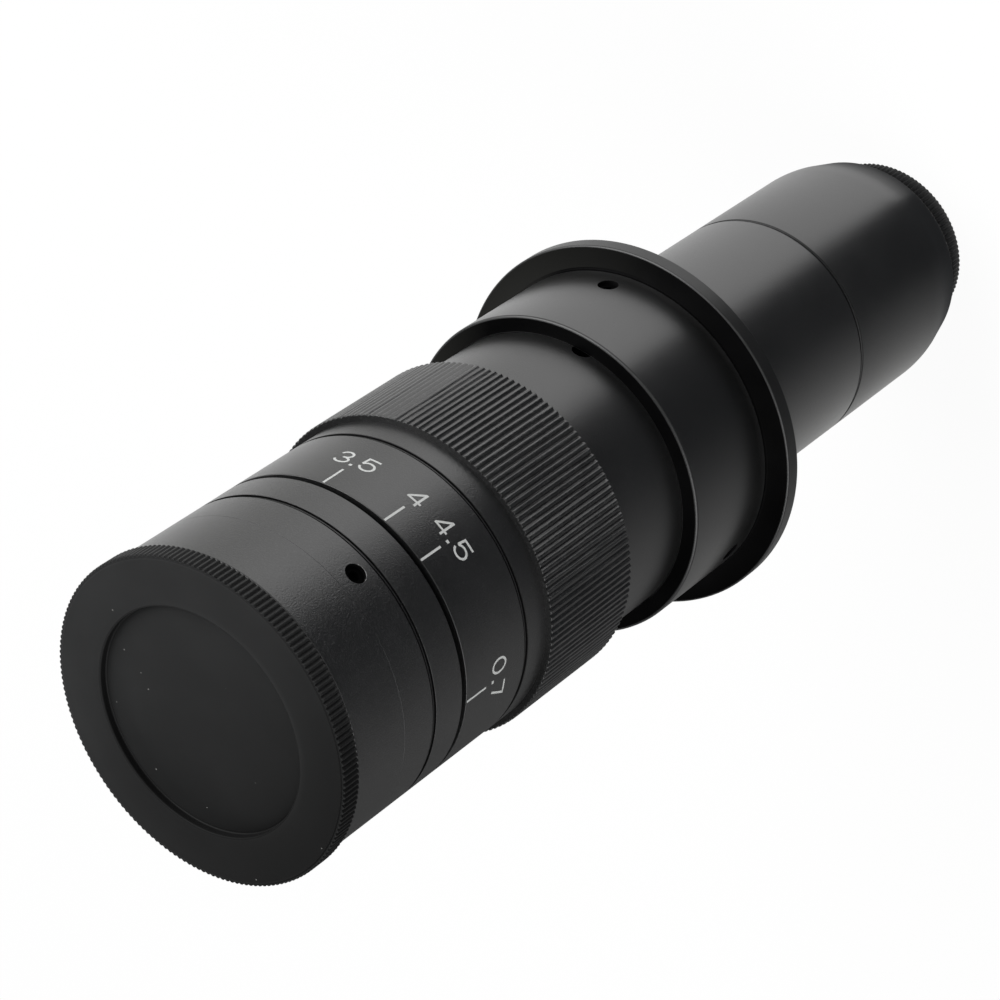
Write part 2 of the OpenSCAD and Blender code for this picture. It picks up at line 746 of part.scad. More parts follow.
// The cap's face is a shallow crowned ring around the round dish
module front_cap() color([0.11, 0.11, 0.11]) {
    face_r = cap_r - tooth_depth - 0.1;
    dish_r = cap_r - dish_rim;
    z_dish = z_top - dish_depth;
    lip = 0.45;
    crown = 0.1;
    floor_t = 1.2;
    boss_wall = 1.4;
    ring_w = face_r - edge - dish_r - lip;
    union() {
        difference() {
            knurl(z_cap, z_top - edge, cap_r, tooth_depth, cap_teeth);
            bore(z_cap - 1, z_top, face_r - 1);
        }
        rotate_extrude() polygon(concat(
            [[0, z_dish - floor_t], [cap_boss_r - boss_wall, z_dish - floor_t],
                [cap_boss_r - boss_wall, z_boss], [cap_boss_r, z_boss], [cap_boss_r, z_cap],
                [face_r, z_cap], [face_r, z_top - edge]],
            [for (i = [0:6]) let (x = i / 6)
                [face_r - edge - ring_w * x, z_top - crown * pow(2 * x - 1, 2)]],
            arc(dish_r + lip, z_top - crown - lip, lip, 100, 180),
            arc(dish_r - 0.3, z_dish + 0.3, 0.3, 0, -90),
            [[0, z_dish]]));
    }
}

rear_cap();
camera_mount();
field_stop();
rear_tube();
neck_tube();
relay_cell();
relay_lens();
relay_retainer();
main_barrel();
mounting_sleeve();
sleeve_screws();
body_screws();
guide_tube();
thrust_washer();
cam_sleeve();
zoom_grip();
grip_screws();
scale_ring();
spring_washer();
compensator_cell();
compensator_lens();
compensator_retainer();
compensator_pin();
variator_cell();
variator_lens();
variator_retainer();
variator_pin();
front_barrel();
index_ring();
front_screws();
nose_ring();
objective_rear_lens();
objective_front_lens();
objective_retainer();
front_cap();
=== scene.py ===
"""Dresses the standing zoom lens: finely turned outer pieces, finishes, scale print, dust and studio."""
import logging
import math
from dataclasses import dataclass, field
from enum import Enum
from typing import Any, Iterable, Mapping, Optional, Sequence, Union

import bmesh
import bpy
from mathutils import Matrix, Vector


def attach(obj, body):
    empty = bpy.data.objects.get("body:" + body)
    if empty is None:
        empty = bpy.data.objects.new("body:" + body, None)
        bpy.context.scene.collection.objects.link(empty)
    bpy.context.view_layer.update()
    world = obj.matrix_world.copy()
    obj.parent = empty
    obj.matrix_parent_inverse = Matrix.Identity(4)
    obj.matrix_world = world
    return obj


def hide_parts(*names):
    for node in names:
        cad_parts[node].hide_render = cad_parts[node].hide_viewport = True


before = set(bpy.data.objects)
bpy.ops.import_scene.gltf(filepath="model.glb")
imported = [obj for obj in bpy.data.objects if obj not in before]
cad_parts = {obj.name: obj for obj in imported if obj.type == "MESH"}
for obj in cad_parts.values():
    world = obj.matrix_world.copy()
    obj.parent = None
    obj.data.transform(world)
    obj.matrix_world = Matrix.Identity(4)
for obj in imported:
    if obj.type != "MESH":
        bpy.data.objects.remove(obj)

LOG = logging.getLogger("zoom_lens")
Colour = tuple[float, float, float]
Colour4 = tuple[float, float, float, float]
Point2 = tuple[float, float]
Point3 = tuple[float, float, float]
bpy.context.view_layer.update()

# Sizes are in millimetres, and heights start at the end of the rear cap; MM gives metres.
MM = 0.001
TURN = 2 * math.pi
TOUCH = 1e-6
LENS_LENGTH = 175.05
BARREL_R = 23.25
SPIGOT_R = 22.0
GROOVE_R = 22.98
# Satin strip on a groove's floor; the near-black bands either side paint the shade in the groove's corners.
GROOVE_STRIP: Point2 = (0.11, 0.33)


class Body(Enum):
    """Bodies that the pieces ride on."""

    BARREL = "barrel"
    ZOOM = "zoom_ring"
    FRONT_CAP = "front_cap"
    REAR_CAP = "rear_cap"


class Slot(Enum):
    """Places on a turned piece that take a finish of their own."""

    MAIN = 0
    EDGE = 1
    INSIDE = 2
    FACE = 3
    RIM = 4
    LEDGE = 5


# Shader sheets.


class Wire:
    """A socket that takes part in Python arithmetic; each operation adds one Math node."""

    def __init__(self, sheet: "Sheet", socket: bpy.types.NodeSocket) -> None:
        """Wraps a socket.

        Args:
            sheet: The node sheet that the socket is on.
            socket: The output socket to work with.
        """
        self.sheet = sheet
        self.socket = socket

    def _math(self, operation: str, first: "Term", second: "Term", clamp: bool = False) -> "Wire":
        """Adds a Math node.

        Args:
            operation: The node's operation.
            first: The first value or wire.
            second: The second value or wire.
            clamp: Whether the result is kept from 0 to 1.

        Returns:
            The result as a wire.
        """
        settings = {"operation": operation, "use_clamp": clamp}
        made = self.sheet.node("ShaderNodeMath", settings, {0: first, 1: second})
        return Wire(self.sheet, made.outputs[0])

    def __add__(self, other: "Term") -> "Wire":
        """Sum."""
        return self._math("ADD", self, other)

    def __radd__(self, other: "Term") -> "Wire":
        """Sum, reflected."""
        return self._math("ADD", other, self)

    def __sub__(self, other: "Term") -> "Wire":
        """Difference."""
        return self._math("SUBTRACT", self, other)

    def __rsub__(self, other: "Term") -> "Wire":
        """Difference, reflected."""
        return self._math("SUBTRACT", other, self)

    def __mul__(self, other: "Term") -> "Wire":
        """Product."""
        return self._math("MULTIPLY", self, other)

    def __rmul__(self, other: "Term") -> "Wire":
        """Product, reflected."""
        return self._math("MULTIPLY", other, self)

    def __truediv__(self, other: "Term") -> "Wire":
        """Quotient."""
        return self._math("DIVIDE", self, other)

    def __rtruediv__(self, other: "Term") -> "Wire":
        """Quotient, reflected."""
        return self._math("DIVIDE", other, self)

    def at_least(self, limit: "Term") -> "Wire":
        """The larger of this and a limit."""
        return self._math("MAXIMUM", self, limit)

    def root(self) -> "Wire":
        """The square root."""
        return self._math("SQRT", self, 0.0)

    def over(self, low: float, high: float) -> "Wire":
        """Runs from 0 at low to 1 at high, and is held there.

        Args:
            low: Value that gives 0.
            high: Value that gives 1; it may be the smaller of the two.

        Returns:
            The clamped share as a wire.
        """
        return self._math("MULTIPLY", self - low, 1 / (high - low), clamp=True)


Term = Union[float, Wire]


class Sheet:
    """A material's or the world's node tree."""

    def __init__(self, owner: Union[bpy.types.Material, bpy.types.World]) -> None:
        """Empties the owner's node tree and takes it over.

        Args:
            owner: The material or world.
        """
        owner.use_nodes = True
        self.tree = owner.node_tree
        self.tree.nodes.clear()

    def _feed(self, socket: bpy.types.NodeSocket, value: Any) -> None:
        """Links a wire or socket to an input, or sets its value.

        Args:
            socket: The input.
            value: A wire, an output socket or a plain value.
        """
        if isinstance(value, Wire):
            value = value.socket
        if isinstance(value, bpy.types.NodeSocket):
            self.tree.links.new(value, socket)
        else:
            socket.default_value = value

    @staticmethod
    def _pick(sockets: Any, key: Union[int, str]) -> bpy.types.NodeSocket:
        """Finds a socket by its place, identifier or name.

        Args:
            sockets: The node's inputs or outputs.
            key: Place, identifier or name.

        Returns:
            The socket.
        """
        if isinstance(key, int):
            return sockets[key]
        for socket in sockets:
            if socket.identifier == key:
                return socket
        return sockets[key]

    def node(self, kind: str, settings: Optional[Mapping[str, Any]] = None,
             feeds: Optional[Mapping[Union[int, str], Any]] = None) -> bpy.types.Node:
        """Adds a node: its settings first, then its sockets.

        Args:
            kind: The node's type.
            settings: Its settings by name.
            feeds: Values, wires or sockets for its inputs.

        Returns:
            The node.
        """
        made = self.tree.nodes.new(kind)
        for name, value in (settings or {}).items():
            setattr(made, name, value)
        for key, value in (feeds or {}).items():
            self._feed(self._pick(made.inputs, key), value)
        return made

    def out(self, kind: str, output: Union[int, str] = 0,
            settings: Optional[Mapping[str, Any]] = None,
            feeds: Optional[Mapping[Union[int, str], Any]] = None) -> Wire:
        """Adds a node and gives one of its outputs.

        Args:
            kind: The node's type.
            output: Place, identifier or name of the output.
            settings: The node's settings.
            feeds: Values, wires or sockets for its inputs.

        Returns:
            The output as a wire.
        """
        return Wire(self, self._pick(self.node(kind, settings, feeds).outputs, output))

    def place(self) -> Wire:
        """The point on the surface, in the piece's own metres."""
        return self.out("ShaderNodeTexCoord", "Object")

    def noise(self, point: Wire, size: float, detail: float = 2.0, roughness: float = 0.5) -> Wire:
        """Cloudy noise.

        Args:
            point: Where it is read.
            size: Size of its features in millimetres.
            detail: Number of finer layers.
            roughness: Weight of the finer layers.

        Returns:
            A value round 0.5.
        """
        feeds = {"Vector": point, "Scale": 1 / (size * MM), "Detail": detail, "Roughness": roughness}
        return self.out("ShaderNodeTexNoise", "Fac", {"noise_dimensions": "3D"}, feeds)

    def specks(self, point: Wire, spacing: float, radius: float, share: float) -> Wire:
        """Scattered small round specks.

        Args:
            point: Where they are read.
            spacing: Mean distance of their places in millimetres.
            radius: Radius of the largest speck in millimetres.
            share: Part of the places that holds a speck.

        Returns:
            1 inside a speck, 0 outside.
        """
        cell = self.node("ShaderNodeTexVoronoi", {"voronoi_dimensions": "3D", "feature": "F1"},
                         {"Vector": point, "Scale": 1 / (spacing * MM)})
        pick = self.node("ShaderNodeSeparateColor", {}, {0: Wire(self, cell.outputs["Color"])})
        held = Wire(self, pick.outputs[0]).over(1 - share, 1 - share + 0.01)
        least = 0.35
        size = least + (1 - least) * Wire(self, pick.outputs[1])
        reach = Wire(self, cell.outputs["Distance"]) / size
        return held * reach.over(radius / spacing, 0.6 * radius / spacing)

    def blend(self, share: Term, first: Any, second: Any) -> Wire:
        """Mixes two colours.

        Args:
            share: 0 gives the first, 1 the second.
            first: Colour or wire.
            second: Colour or wire.

        Returns:
            The mixed colour.
        """
        return self.out("ShaderNodeMix", "Result_Color", {"data_type": "RGBA", "clamp_factor": True},
                        {"Factor_Float": share, "A_Color": first, "B_Color": second})

    def bump(self, height: Wire, depth: float) -> Wire:
        """Turns a height from 0 to 1 into the normal of a relief as deep in millimetres."""
        feeds = {"Strength": 1.0, "Distance": depth * MM, "Height": height}
        return self.out("ShaderNodeBump", "Normal", {}, feeds)

    def axes(self, point: Wire) -> list[Wire]:
        """The x, y and z of a point."""
        made = self.node("ShaderNodeSeparateXYZ", {}, {0: point})
        return [Wire(self, socket) for socket in made.outputs]

    def rays(self) -> tuple[Wire, Wire]:
        """Tells the camera's rays from those that come by way of metal or glass.

        Returns:
            1 for a ray of the camera, and 1 for a mirrored or refracted ray.
        """
        found = self.node("ShaderNodeLightPath").outputs
        through = Wire(self, found["Is Transmission Ray"])
        return Wire(self, found["Is Camera Ray"]), Wire(self, found["Is Glossy Ray"]).at_least(through)

    def glow(self, colour: Any) -> Wire:
        """Light of a colour's own brightness."""
        return self.out("ShaderNodeEmission", 0, {}, {"Color": colour, "Strength": 1.0})

    def principled(self, colour: Wire, rough: Term, more: Mapping[str, Any]) -> Wire:
        """A Principled shader of a colour, a roughness and more inputs by name."""
        feeds = {"Base Color": colour, "Roughness": rough, **more}
        return self.out("ShaderNodeBsdfPrincipled", 0, {}, feeds)

    def surface(self, shader: Wire) -> None:
        """Ends the sheet in its output."""
        self.node("ShaderNodeOutputMaterial", {}, {"Surface": shader})


def rgba(colour: Colour) -> Colour4:
    """A colour with full alpha."""
    return (*colour, 1.0)


# Finishes.


WHITE: Colour = (1.0, 1.0, 1.0)
PALE_DUST: Colour = (0.3, 0.3, 0.29)
SOFT_DUST: Colour = (0.26, 0.26, 0.25)
GLASS_DUST: Colour = (0.6, 0.6, 0.6)
STREAK_DUST: Colour = (0.03, 0.03, 0.0285)
DRAWN_OUT: Point3 = (1.0, 1.0, 0.03)


@dataclass(frozen=True)
class Finish:
    """A finish that builds its material once.

    Fields give the name, base colour and mean roughness.
    """

    name: str
    colour: Colour
    roughness: float

    def material(self) -> bpy.types.Material:
        """Gives the material, built on first use.

        Returns:
            The material.
        """
        if self not in FINISHED:
            made = bpy.data.materials.new(self.name)
            made.diffuse_color = rgba(self.colour)
            self.paint(Sheet(made))
            FINISHED[self] = made
        return FINISHED[self]

    def tone(self, share: float = 1.0, lift: float = 0.0) -> Colour4:
        """A share of the base colour, lifted by a level, with full alpha."""
        return rgba(tuple(min(1.0, c * share + lift) for c in self.colour))

    def paint(self, sheet: Sheet) -> None:
        """Fills the node sheet.

        Args:
            sheet: The material's empty sheet.
        """
        raise NotImplementedError


FINISHED: dict[Finish, bpy.types.Material] = {}


@dataclass(frozen=True)
class SatinMetal(Finish):
    """Blasted and dyed metal: fine grain, soft clouding, a little dust.

    Fields add the grain's size and depth, the reflectivity, the share of dust specks, the
    share and colour of the grain's light crests, the strength of the dusty streaks and drawn
    lines that run along the lens, the two values of x + y, in millimetres, between which a
    painted sheen comes in, lighter toward the larger x + y, the sheen's colour, the size of the
    clouding, the two noise levels between which clouds and crests come in, and the specks' spacing and
    radius.
    """

    grain: float = 0.3
    relief: float = 0.006
    level: float = 0.85
    ior: float = 1.75
    dust: float = 0.08
    salt: float = 0.0
    crest: Colour = (0.06, 0.061, 0.062)
    streaks: float = 0.0
    painted_sheen: Point2 = (0.0, 0.0)
    painted_sheen_colour: Colour = (0.021, 0.021, 0.0195)
    cloud_size: float = 9.0
    cloud_levels: Point2 = (0.42, 0.72)
    crest_levels: Point2 = (0.54, 0.7)
    specks: Point2 = (4.2, 0.11)

    def paint(self, sheet: Sheet) -> None:
        """Fills the node sheet.

        Args:
            sheet: The material's empty sheet.
        """
        point = sheet.place()
        grain = sheet.noise(point, self.grain, 2.0, 0.6)
        cloud = sheet.noise(point, self.cloud_size, 3.0)
        colour = sheet.blend(cloud.over(*self.cloud_levels), self.tone(), self.tone(1.4, 0.001))
        # Painted sheen: the colour lightens as x + y grows, standing in for light falling across the face.
        start, end = self.painted_sheen
        if end > start:
            x, y, _ = sheet.axes(point)
            colour = sheet.blend((x + y).over(start * MM, end * MM), colour, rgba(self.painted_sheen_colour))
        speck = sheet.specks(point, *self.specks, self.dust)
        colour = sheet.blend(grain.over(*self.crest_levels) * self.salt, colour, rgba(self.crest))
        colour = sheet.blend(speck * 0.8, colour, rgba(PALE_DUST))
        rough = self.roughness + 0.05 * (cloud - 0.5) + 0.12 * (grain - 0.5) + 0.3 * speck
        height = grain
        if self.streaks > 0:
            along = sheet.out("ShaderNodeVectorMath", 0, {"operation": "MULTIPLY"},
                              {0: point, 1: DRAWN_OUT})
            drawn = sheet.noise(along, 0.5, 2.0, 0.7)
            streak = drawn.over(*self.crest_levels) * cloud.over(0.4, 0.6)
            colour = sheet.blend(streak * self.streaks, colour, rgba(STREAK_DUST))
            height = grain + 1.6 * drawn
        sheet.surface(sheet.principled(colour, rough, {
            "Normal": sheet.bump(height, self.relief), "IOR": self.ior,
            "Specular IOR Level": self.level}))


@dataclass(frozen=True)
class MouldedPlastic(Finish):
    """Moulded black plastic: fine skin, faint clouding, painted shade toward the -x side where asked, and a
    few specks of dust.

    Fields add the skin's size and depth, the reflectivity, the dust, how strongly a painted
    shade darkens the colour toward the -x side, the two values of x, in millimetres, between which it
    comes in, the places and radii in millimetres of single specks that lie on the face, and the
    spacing and radius of the scattered specks, large and fine.
    """

    skin: float = 0.35
    relief: float = 0.004
    level: float = 0.5
    dust: float = 0.1
    painted_shade: float = 0.0
    painted_shade_from: Point2 = (14.0, -22.0)
    lying: tuple[tuple[float, float, float, float], ...] = ()
    specks: Point2 = (5.0, 0.14)
    fine_specks: Point2 = (1.7, 0.05)

    def paint(self, sheet: Sheet) -> None:
        """Fills the node sheet.

        Args:
            sheet: The material's empty sheet.
        """
        point = sheet.place()
        skin = sheet.noise(point, self.skin, 3.0, 0.6)
        cloud = sheet.noise(point, 12.0, 4.0, 0.6)
        colour = sheet.blend(cloud.over(0.4, 0.68), self.tone(), self.tone(1.12, 0.001))
        # Painted shade: the colour darkens toward the -x side, standing in for light that falls off across
        # the cap.
        if self.painted_shade > 0:
            start, end = self.painted_shade_from
            shade_share = sheet.axes(point)[0].over(start * MM, end * MM)
            colour = sheet.blend(shade_share * self.painted_shade, colour, self.tone(0.12))
        speck = sheet.specks(point, *self.specks, self.dust)
        fine = sheet.specks(point, *self.fine_specks, self.dust * 0.6)
        mark = speck.at_least(fine)
        for x, y, z, radius in self.lying:
            reach = sheet.out("ShaderNodeVectorMath", "Value", {"operation": "DISTANCE"},
                              {0: point, 1: (x * MM, y * MM, z * MM)})
            mark = mark.at_least(reach.over(radius * MM, 0.5 * radius * MM))
        colour = sheet.blend(mark * 0.75, colour, rgba(SOFT_DUST))
        rough = self.roughness + 0.1 * (cloud - 0.5) + 0.06 * (skin - 0.5) + 0.2 * speck
        sheet.surface(sheet.principled(colour, rough, {
            "Normal": sheet.bump(skin, self.relief), "Specular IOR Level": self.level}))


@dataclass(frozen=True)
class TurnedMetal(Finish):
    """Bare turned metal with fine tool lines round the axis.

    Fields add the lines' pitch in millimetres and their depth.
    """

    pitch: float = 0.12
    relief: float = 0.002

    def paint(self, sheet: Sheet) -> None:
        """Fills the node sheet.

        Args:
            sheet: The material's empty sheet.
        """
        point = sheet.place()
        lines = sheet.out("ShaderNodeTexWave", "Fac", {"bands_direction": "Z", "wave_profile": "SIN"},
                          {"Vector": point, "Scale": 0.16 / (self.pitch * MM), "Distortion": 0.6,
                           "Detail": 2.0})
        cloud = sheet.noise(point, 3.0, 3.0)
        colour = sheet.blend(cloud.over(0.35, 0.7), self.tone(), self.tone(0.72))
        rough = self.roughness + 0.12 * (cloud - 0.5) + 0.05 * (lines - 0.5)
        sheet.surface(sheet.principled(colour, rough, {
            "Metallic": 1.0, "Normal": sheet.bump(lines, self.relief)}))


@dataclass(frozen=True)
class CoatedGlass(Finish):
    """Polished optical glass with a tinted coating and faint dust.

    Fields add the refraction, the coating's tint, the specks' spacing and radius, and dust.
    """

    ior: float = 1.52
    tint: Colour = (0.55, 0.4, 0.85)
    specks: Point2 = (2.6, 0.06)
    dust: float = 0.1

    def paint(self, sheet: Sheet) -> None:
        """Fills the node sheet.

        Args:
            sheet: The material's empty sheet.
        """
        point = sheet.place()
        cloud = sheet.noise(point, 7.0, 3.0)
        speck = sheet.specks(point, *self.specks, self.dust)
        rough = self.roughness + 0.02 * cloud.over(0.5, 0.8) + 0.3 * speck
        colour = sheet.blend(speck, self.tone(), rgba(GLASS_DUST))
        sheet.surface(sheet.principled(colour, rough, {
            "IOR": self.ior, "Transmission Weight": 1.0, "Specular Tint": rgba(self.tint)}))


@dataclass(frozen=True)
class PrintPaint(Finish):
    """White paint rolled into shallow engraving, slightly uneven."""

    def paint(self, sheet: Sheet) -> None:
        """Fills the node sheet.

        Args:
            sheet: The material's empty sheet.
        """
        fine = sheet.noise(sheet.place(), 0.12, 3.0, 0.65)
        colour = sheet.blend(fine.over(0.5, 0.72), self.tone(), self.tone(0.78))
        rough = self.roughness + 0.1 * (fine - 0.5)
        sheet.surface(sheet.principled(colour, rough, {"Normal": sheet.bump(fine, 0.004)}))


@dataclass(frozen=True)
class StudioFinish(Finish):
    """A finish of the studio, bright by itself: rays meet it, and it is never sampled as a lamp."""

    def material(self) -> bpy.types.Material:
        """Gives the material, built on first use.

        Returns:
            The material, kept out of the lamps.
        """
        found = super().material()
        found.cycles.emission_sampling = "NONE"
        return found


@dataclass(frozen=True)
class PaleFloor(StudioFinish):
    """Pale seamless studio floor; metal and glass mirror it as plain white.

    Field wash is the share of plain white that the camera sees mixed in.
    """

    wash: float = 0.94

    def paint(self, sheet: Sheet) -> None:
        """Fills the node sheet.

        Args:
            sheet: The material's empty sheet.
        """
        cloud = sheet.noise(sheet.place(), 60.0, 3.0)
        colour = sheet.blend(cloud.over(0.3, 0.7), self.tone(), self.tone(0.985))
        lit = sheet.principled(colour, self.roughness, {"Specular IOR Level": 0.1})
        seen, mirrored = sheet.rays()
        sheet.surface(sheet.out("ShaderNodeMixShader", 0, {}, {
            0: (seen * self.wash).at_least(mirrored), 1: lit, 2: sheet.glow(rgba(WHITE))}))


@dataclass(frozen=True)
class PaintedReflectionCard(StudioFinish):
    """Glowing card that only reflections meet: a painted reflection whose grey changes round the lens.

    The colour is the level in front of the lens and the painted shade under its foot. Field side is the
    level beside the lens, rear the level behind it, near the level close to it and veil the level
    of the open side; close and far bound the near zone, foot and skirt the painted shade round the
    foot, in millimetres. The fields ending in zone are the cosines of the azimuth between
    which a level comes in, and veil_reach the distances, in millimetres.
    """

    side: Colour = (0.21, 0.21, 0.21)
    rear: Colour = (0.08, 0.08, 0.08)
    near: Colour = (0.8, 0.8, 0.79)
    veil: Colour = (0.6, 0.6, 0.59)
    close: float = 46.0
    far: float = 115.0
    foot: float = 18.0
    skirt: float = 26.0
    side_zone: Point2 = (0.88, 0.2)
    rear_zone: Point2 = (-0.3, -0.95)
    near_zone: Point2 = (0.88, -0.45)
    veil_front_zone: Point2 = (0.75, 0.1)
    veil_rear_zone: Point2 = (-0.85, -0.2)
    veil_reach: Point2 = (105.0, 140.0)
    open_side: bool = False

    def paint(self, sheet: Sheet) -> None:
        """Fills the node sheet.

        Args:
            sheet: The material's empty sheet.
        """
        x, y, _ = sheet.axes(sheet.place())
        out = (x * x + y * y).root()
        front = (0.0 - y) / out
        if self.open_side:
            zone = front.over(*self.veil_front_zone) * front.over(*self.veil_rear_zone)
            share = zone * out.over(*(reach * MM for reach in self.veil_reach))
            level = sheet.blend(share, rgba(WHITE), rgba(self.veil))
        else:
            side = sheet.blend(front.over(*self.side_zone), self.tone(), rgba(self.side))
            side = sheet.blend(front.over(*self.rear_zone), side, rgba(self.rear))
            near = sheet.blend(front.over(*self.near_zone), self.tone(), rgba(self.near))
            level = sheet.blend(out.over(self.far * MM, self.close * MM), side, near)
        # Painted shade round the lens's foot, seen only in reflections.
        under = out.over(self.skirt * MM, self.foot * MM)
        level = sheet.blend(under * under, level, self.tone())
        sheet.surface(sheet.glow(level))


BLACK_ANODISED = SatinMetal("body_black", (0.0026, 0.0027, 0.0028), 0.33, grain=0.22, relief=0.026,
                            salt=0.12)
FRONT_ANODISED = SatinMetal("front_black", (0.0028, 0.0029, 0.003), 0.32, grain=0.22, relief=0.06,
                            salt=0.3)
SLEEVE_ANODISED = SatinMetal("sleeve_black", (0.0022, 0.0023, 0.0024), 0.31, relief=0.006, salt=0.06)
SCALE_ANODISED = SatinMetal("scale_black", (0.003, 0.0031, 0.0032), 0.32, grain=0.22, relief=0.045,
                            salt=0.25)
GRIP_ANODISED = SatinMetal("grip_black", (0.0028, 0.0029, 0.003), 0.32, relief=0.05, salt=0.5,
                           streaks=0.6)
RIM_ANODISED = SatinMetal("rim_black", (0.0024, 0.0025, 0.0026), 0.42, level=0.45, relief=0.006)
GRIP_FACE = SatinMetal("grip_face", (0.0024, 0.0025, 0.0026), 0.5, level=0.36, ior=1.6, grain=0.3,
                       relief=0.03, salt=0.3, dust=0.04)
# Near-black dull faces of the sleeve; on the fillet at the flange's root the dark colour is painted shade
# in the corner, and the x + y span paints a sheen lighter toward one side.
FACE_DULL = SatinMetal("face_dull", (0.0006, 0.0006, 0.0007), 0.5, level=0.05, ior=1.5,
                       relief=0.006, dust=0.0, painted_sheen=(16.0, 32.0))
# The flange face: its x + y span paints a sheen lighter toward one side.
FLANGE_DULL = SatinMetal("flange_dull", (0.0006, 0.0006, 0.0007), 0.5, level=0.06, ior=1.5,
                         relief=0.006, dust=0.03, painted_sheen=(-8.0, 34.0))
GROOVE_DULL = SatinMetal("groove_dull", (0.002, 0.0021, 0.0022), 0.45, level=0.34, ior=1.5,
                         relief=0.004, dust=0.0)
GROOVE_SATIN = SatinMetal("groove_satin", (0.003, 0.0031, 0.0032), 0.38, level=0.85, relief=0.004,
                          dust=0.0)
EDGE_WORN = SatinMetal("edge_worn", (0.004, 0.0042, 0.0044), 0.4, level=0.6, ior=1.6, relief=0.002,
                       dust=0.0)
EDGE_CHIPPED = SatinMetal("edge_chipped", (0.004, 0.0042, 0.0044), 0.42, grain=0.45, relief=0.01,
                          level=0.6, dust=0.0, salt=1.0, crest=(0.3, 0.3, 0.29))
THREAD_BLACK = SatinMetal("thread_black", (0.006, 0.006, 0.0063), 0.38, relief=0.002)
INNER_BLACK = SatinMetal("inner_black", (0.0012, 0.0012, 0.0013), 0.62, level=0.1, ior=1.5, dust=0.02)
SCREW_STEEL = SatinMetal("black_oxide", (0.0006, 0.0006, 0.0007), 0.6, grain=0.15, relief=0.002,
                         level=0.03, ior=1.5, dust=0.0)
CAP_PLASTIC = MouldedPlastic("cap_plastic", (0.0052, 0.0054, 0.0056), 0.55, level=0.28)
# Cap face and lip: painted shade darkens them toward the -x side.
CAP_FACE = MouldedPlastic("cap_face", (0.0166, 0.0169, 0.0171), 0.52, level=0.34, painted_shade=1.0, lying=(
    (-1.8, 14.1, 173.75, 0.14), (7.3, 5.8, 173.75, 0.12), (9.6, 5.1, 173.75, 0.1),
    (13.3, 5.2, 173.75, 0.13), (8.4, 12.8, 173.75, 0.1), (18.2, 0.9, 175.03, 0.14),
    (-9.7, 9.9, 173.75, 0.1), (-21.0, 8.5, 175.0, 0.13), (-22.0, -6.2, 175.0, 0.11)))
CAP_LIP = MouldedPlastic("cap_lip", (0.0158, 0.0161, 0.0163), 0.62, level=0.12, painted_shade=1.0, dust=0.0)
CAP_EDGE = MouldedPlastic("cap_edge", (0.009, 0.0092, 0.0094), 0.55, level=0.2, dust=0.0)
# Near-black colour of the dish wall: painted shade inside the cap's dish.
SHADED_CAP_WALL = MouldedPlastic("cap_wall_painted_shade", (0.0015, 0.0015, 0.0016), 0.6, level=0.2, dust=0.0)
CAM_BRASS = TurnedMetal("cam_brass", (0.72, 0.5, 0.2), 0.3)
WASHER_BRONZE = TurnedMetal("washer_bronze", (0.55, 0.34, 0.18), 0.34)
SPRING_STEEL = TurnedMetal("spring_steel", (0.4, 0.4, 0.41), 0.3)
PIN_STEEL = TurnedMetal("pin_steel", (0.55, 0.55, 0.57), 0.22, pitch=0.06)
BARE_ALUMINIUM = TurnedMetal("bare_aluminium", (0.62, 0.63, 0.65), 0.32)
CLEAR_GLASS = CoatedGlass("optical_glass", (0.96, 0.98, 0.97), 0.01)
COATED_GLASS = CoatedGlass("coated_glass", (0.95, 0.97, 0.99), 0.01, ior=1.62, tint=(0.5, 0.35, 0.9))
PRINT_WHITE = PrintPaint("print_white", (0.53, 0.54, 0.53), 0.55)
FLOOR_PALE = PaleFloor("floor_pale", (0.93, 0.93, 0.93), 0.85)
# Glowing cards that only reflections see: painted reflections, dark in front of the lens, grey and white
# beside it.
PAINTED_REFLECTION_FRONT = PaintedReflectionCard("painted_reflection_front", (0.048, 0.05, 0.054), 0.9)
PAINTED_REFLECTION_SIDE = PaintedReflectionCard("painted_reflection_side", (0.048, 0.05, 0.054), 0.9, open_side=True)

NODE_FINISHES: dict[str, Finish] = {
    "field_stop": INNER_BLACK, "relay_cell": INNER_BLACK, "relay_lens": CLEAR_GLASS,
    "relay_retainer": THREAD_BLACK, "sleeve_screws": SCREW_STEEL, "body_screws": SCREW_STEEL,
    "guide_tube": BARE_ALUMINIUM, "thrust_washer": WASHER_BRONZE, "cam_sleeve": CAM_BRASS,
    "grip_screws": SCREW_STEEL, "spring_washer": SPRING_STEEL, "compensator_cell": INNER_BLACK,
    "compensator_lens": CLEAR_GLASS, "compensator_retainer": THREAD_BLACK,
    "compensator_pin": PIN_STEEL, "variator_cell": INNER_BLACK, "variator_lens": CLEAR_GLASS,
    "variator_retainer": THREAD_BLACK, "variator_pin": PIN_STEEL, "front_screws": SCREW_STEEL,
    "objective_rear_lens": CLEAR_GLASS, "objective_front_lens": COATED_GLASS,
    "objective_retainer": THREAD_BLACK,
}


# Turned meshes.


@dataclass(frozen=True)
class Corner:
    """A corner of a turned profile in millimetres, with the size of its broken edge."""

    r: float
    z: float
    ease: float = 0.0
    slot: Slot = Slot.MAIN


@dataclass(frozen=True)
class Stop:
    """One ring of a turned mesh, with the finish of the band that follows it."""

    r: float
    z: float
    slot: Slot = Slot.MAIN


Grid = list[list[bmesh.types.BMVert]]
SHARP_ANGLE = math.radians(38)
HOLE_ROWS = 12
HOLE_MARGIN = 0.55
HOLE_WALL_R = 5.0


@dataclass(frozen=True)
class Hole:
    """Round pocket drilled along the radius into a turned wall."""

    z: float
    radius: float
    depth: float
    chamfer: float = 0.04
    edge: Slot = Slot.INSIDE


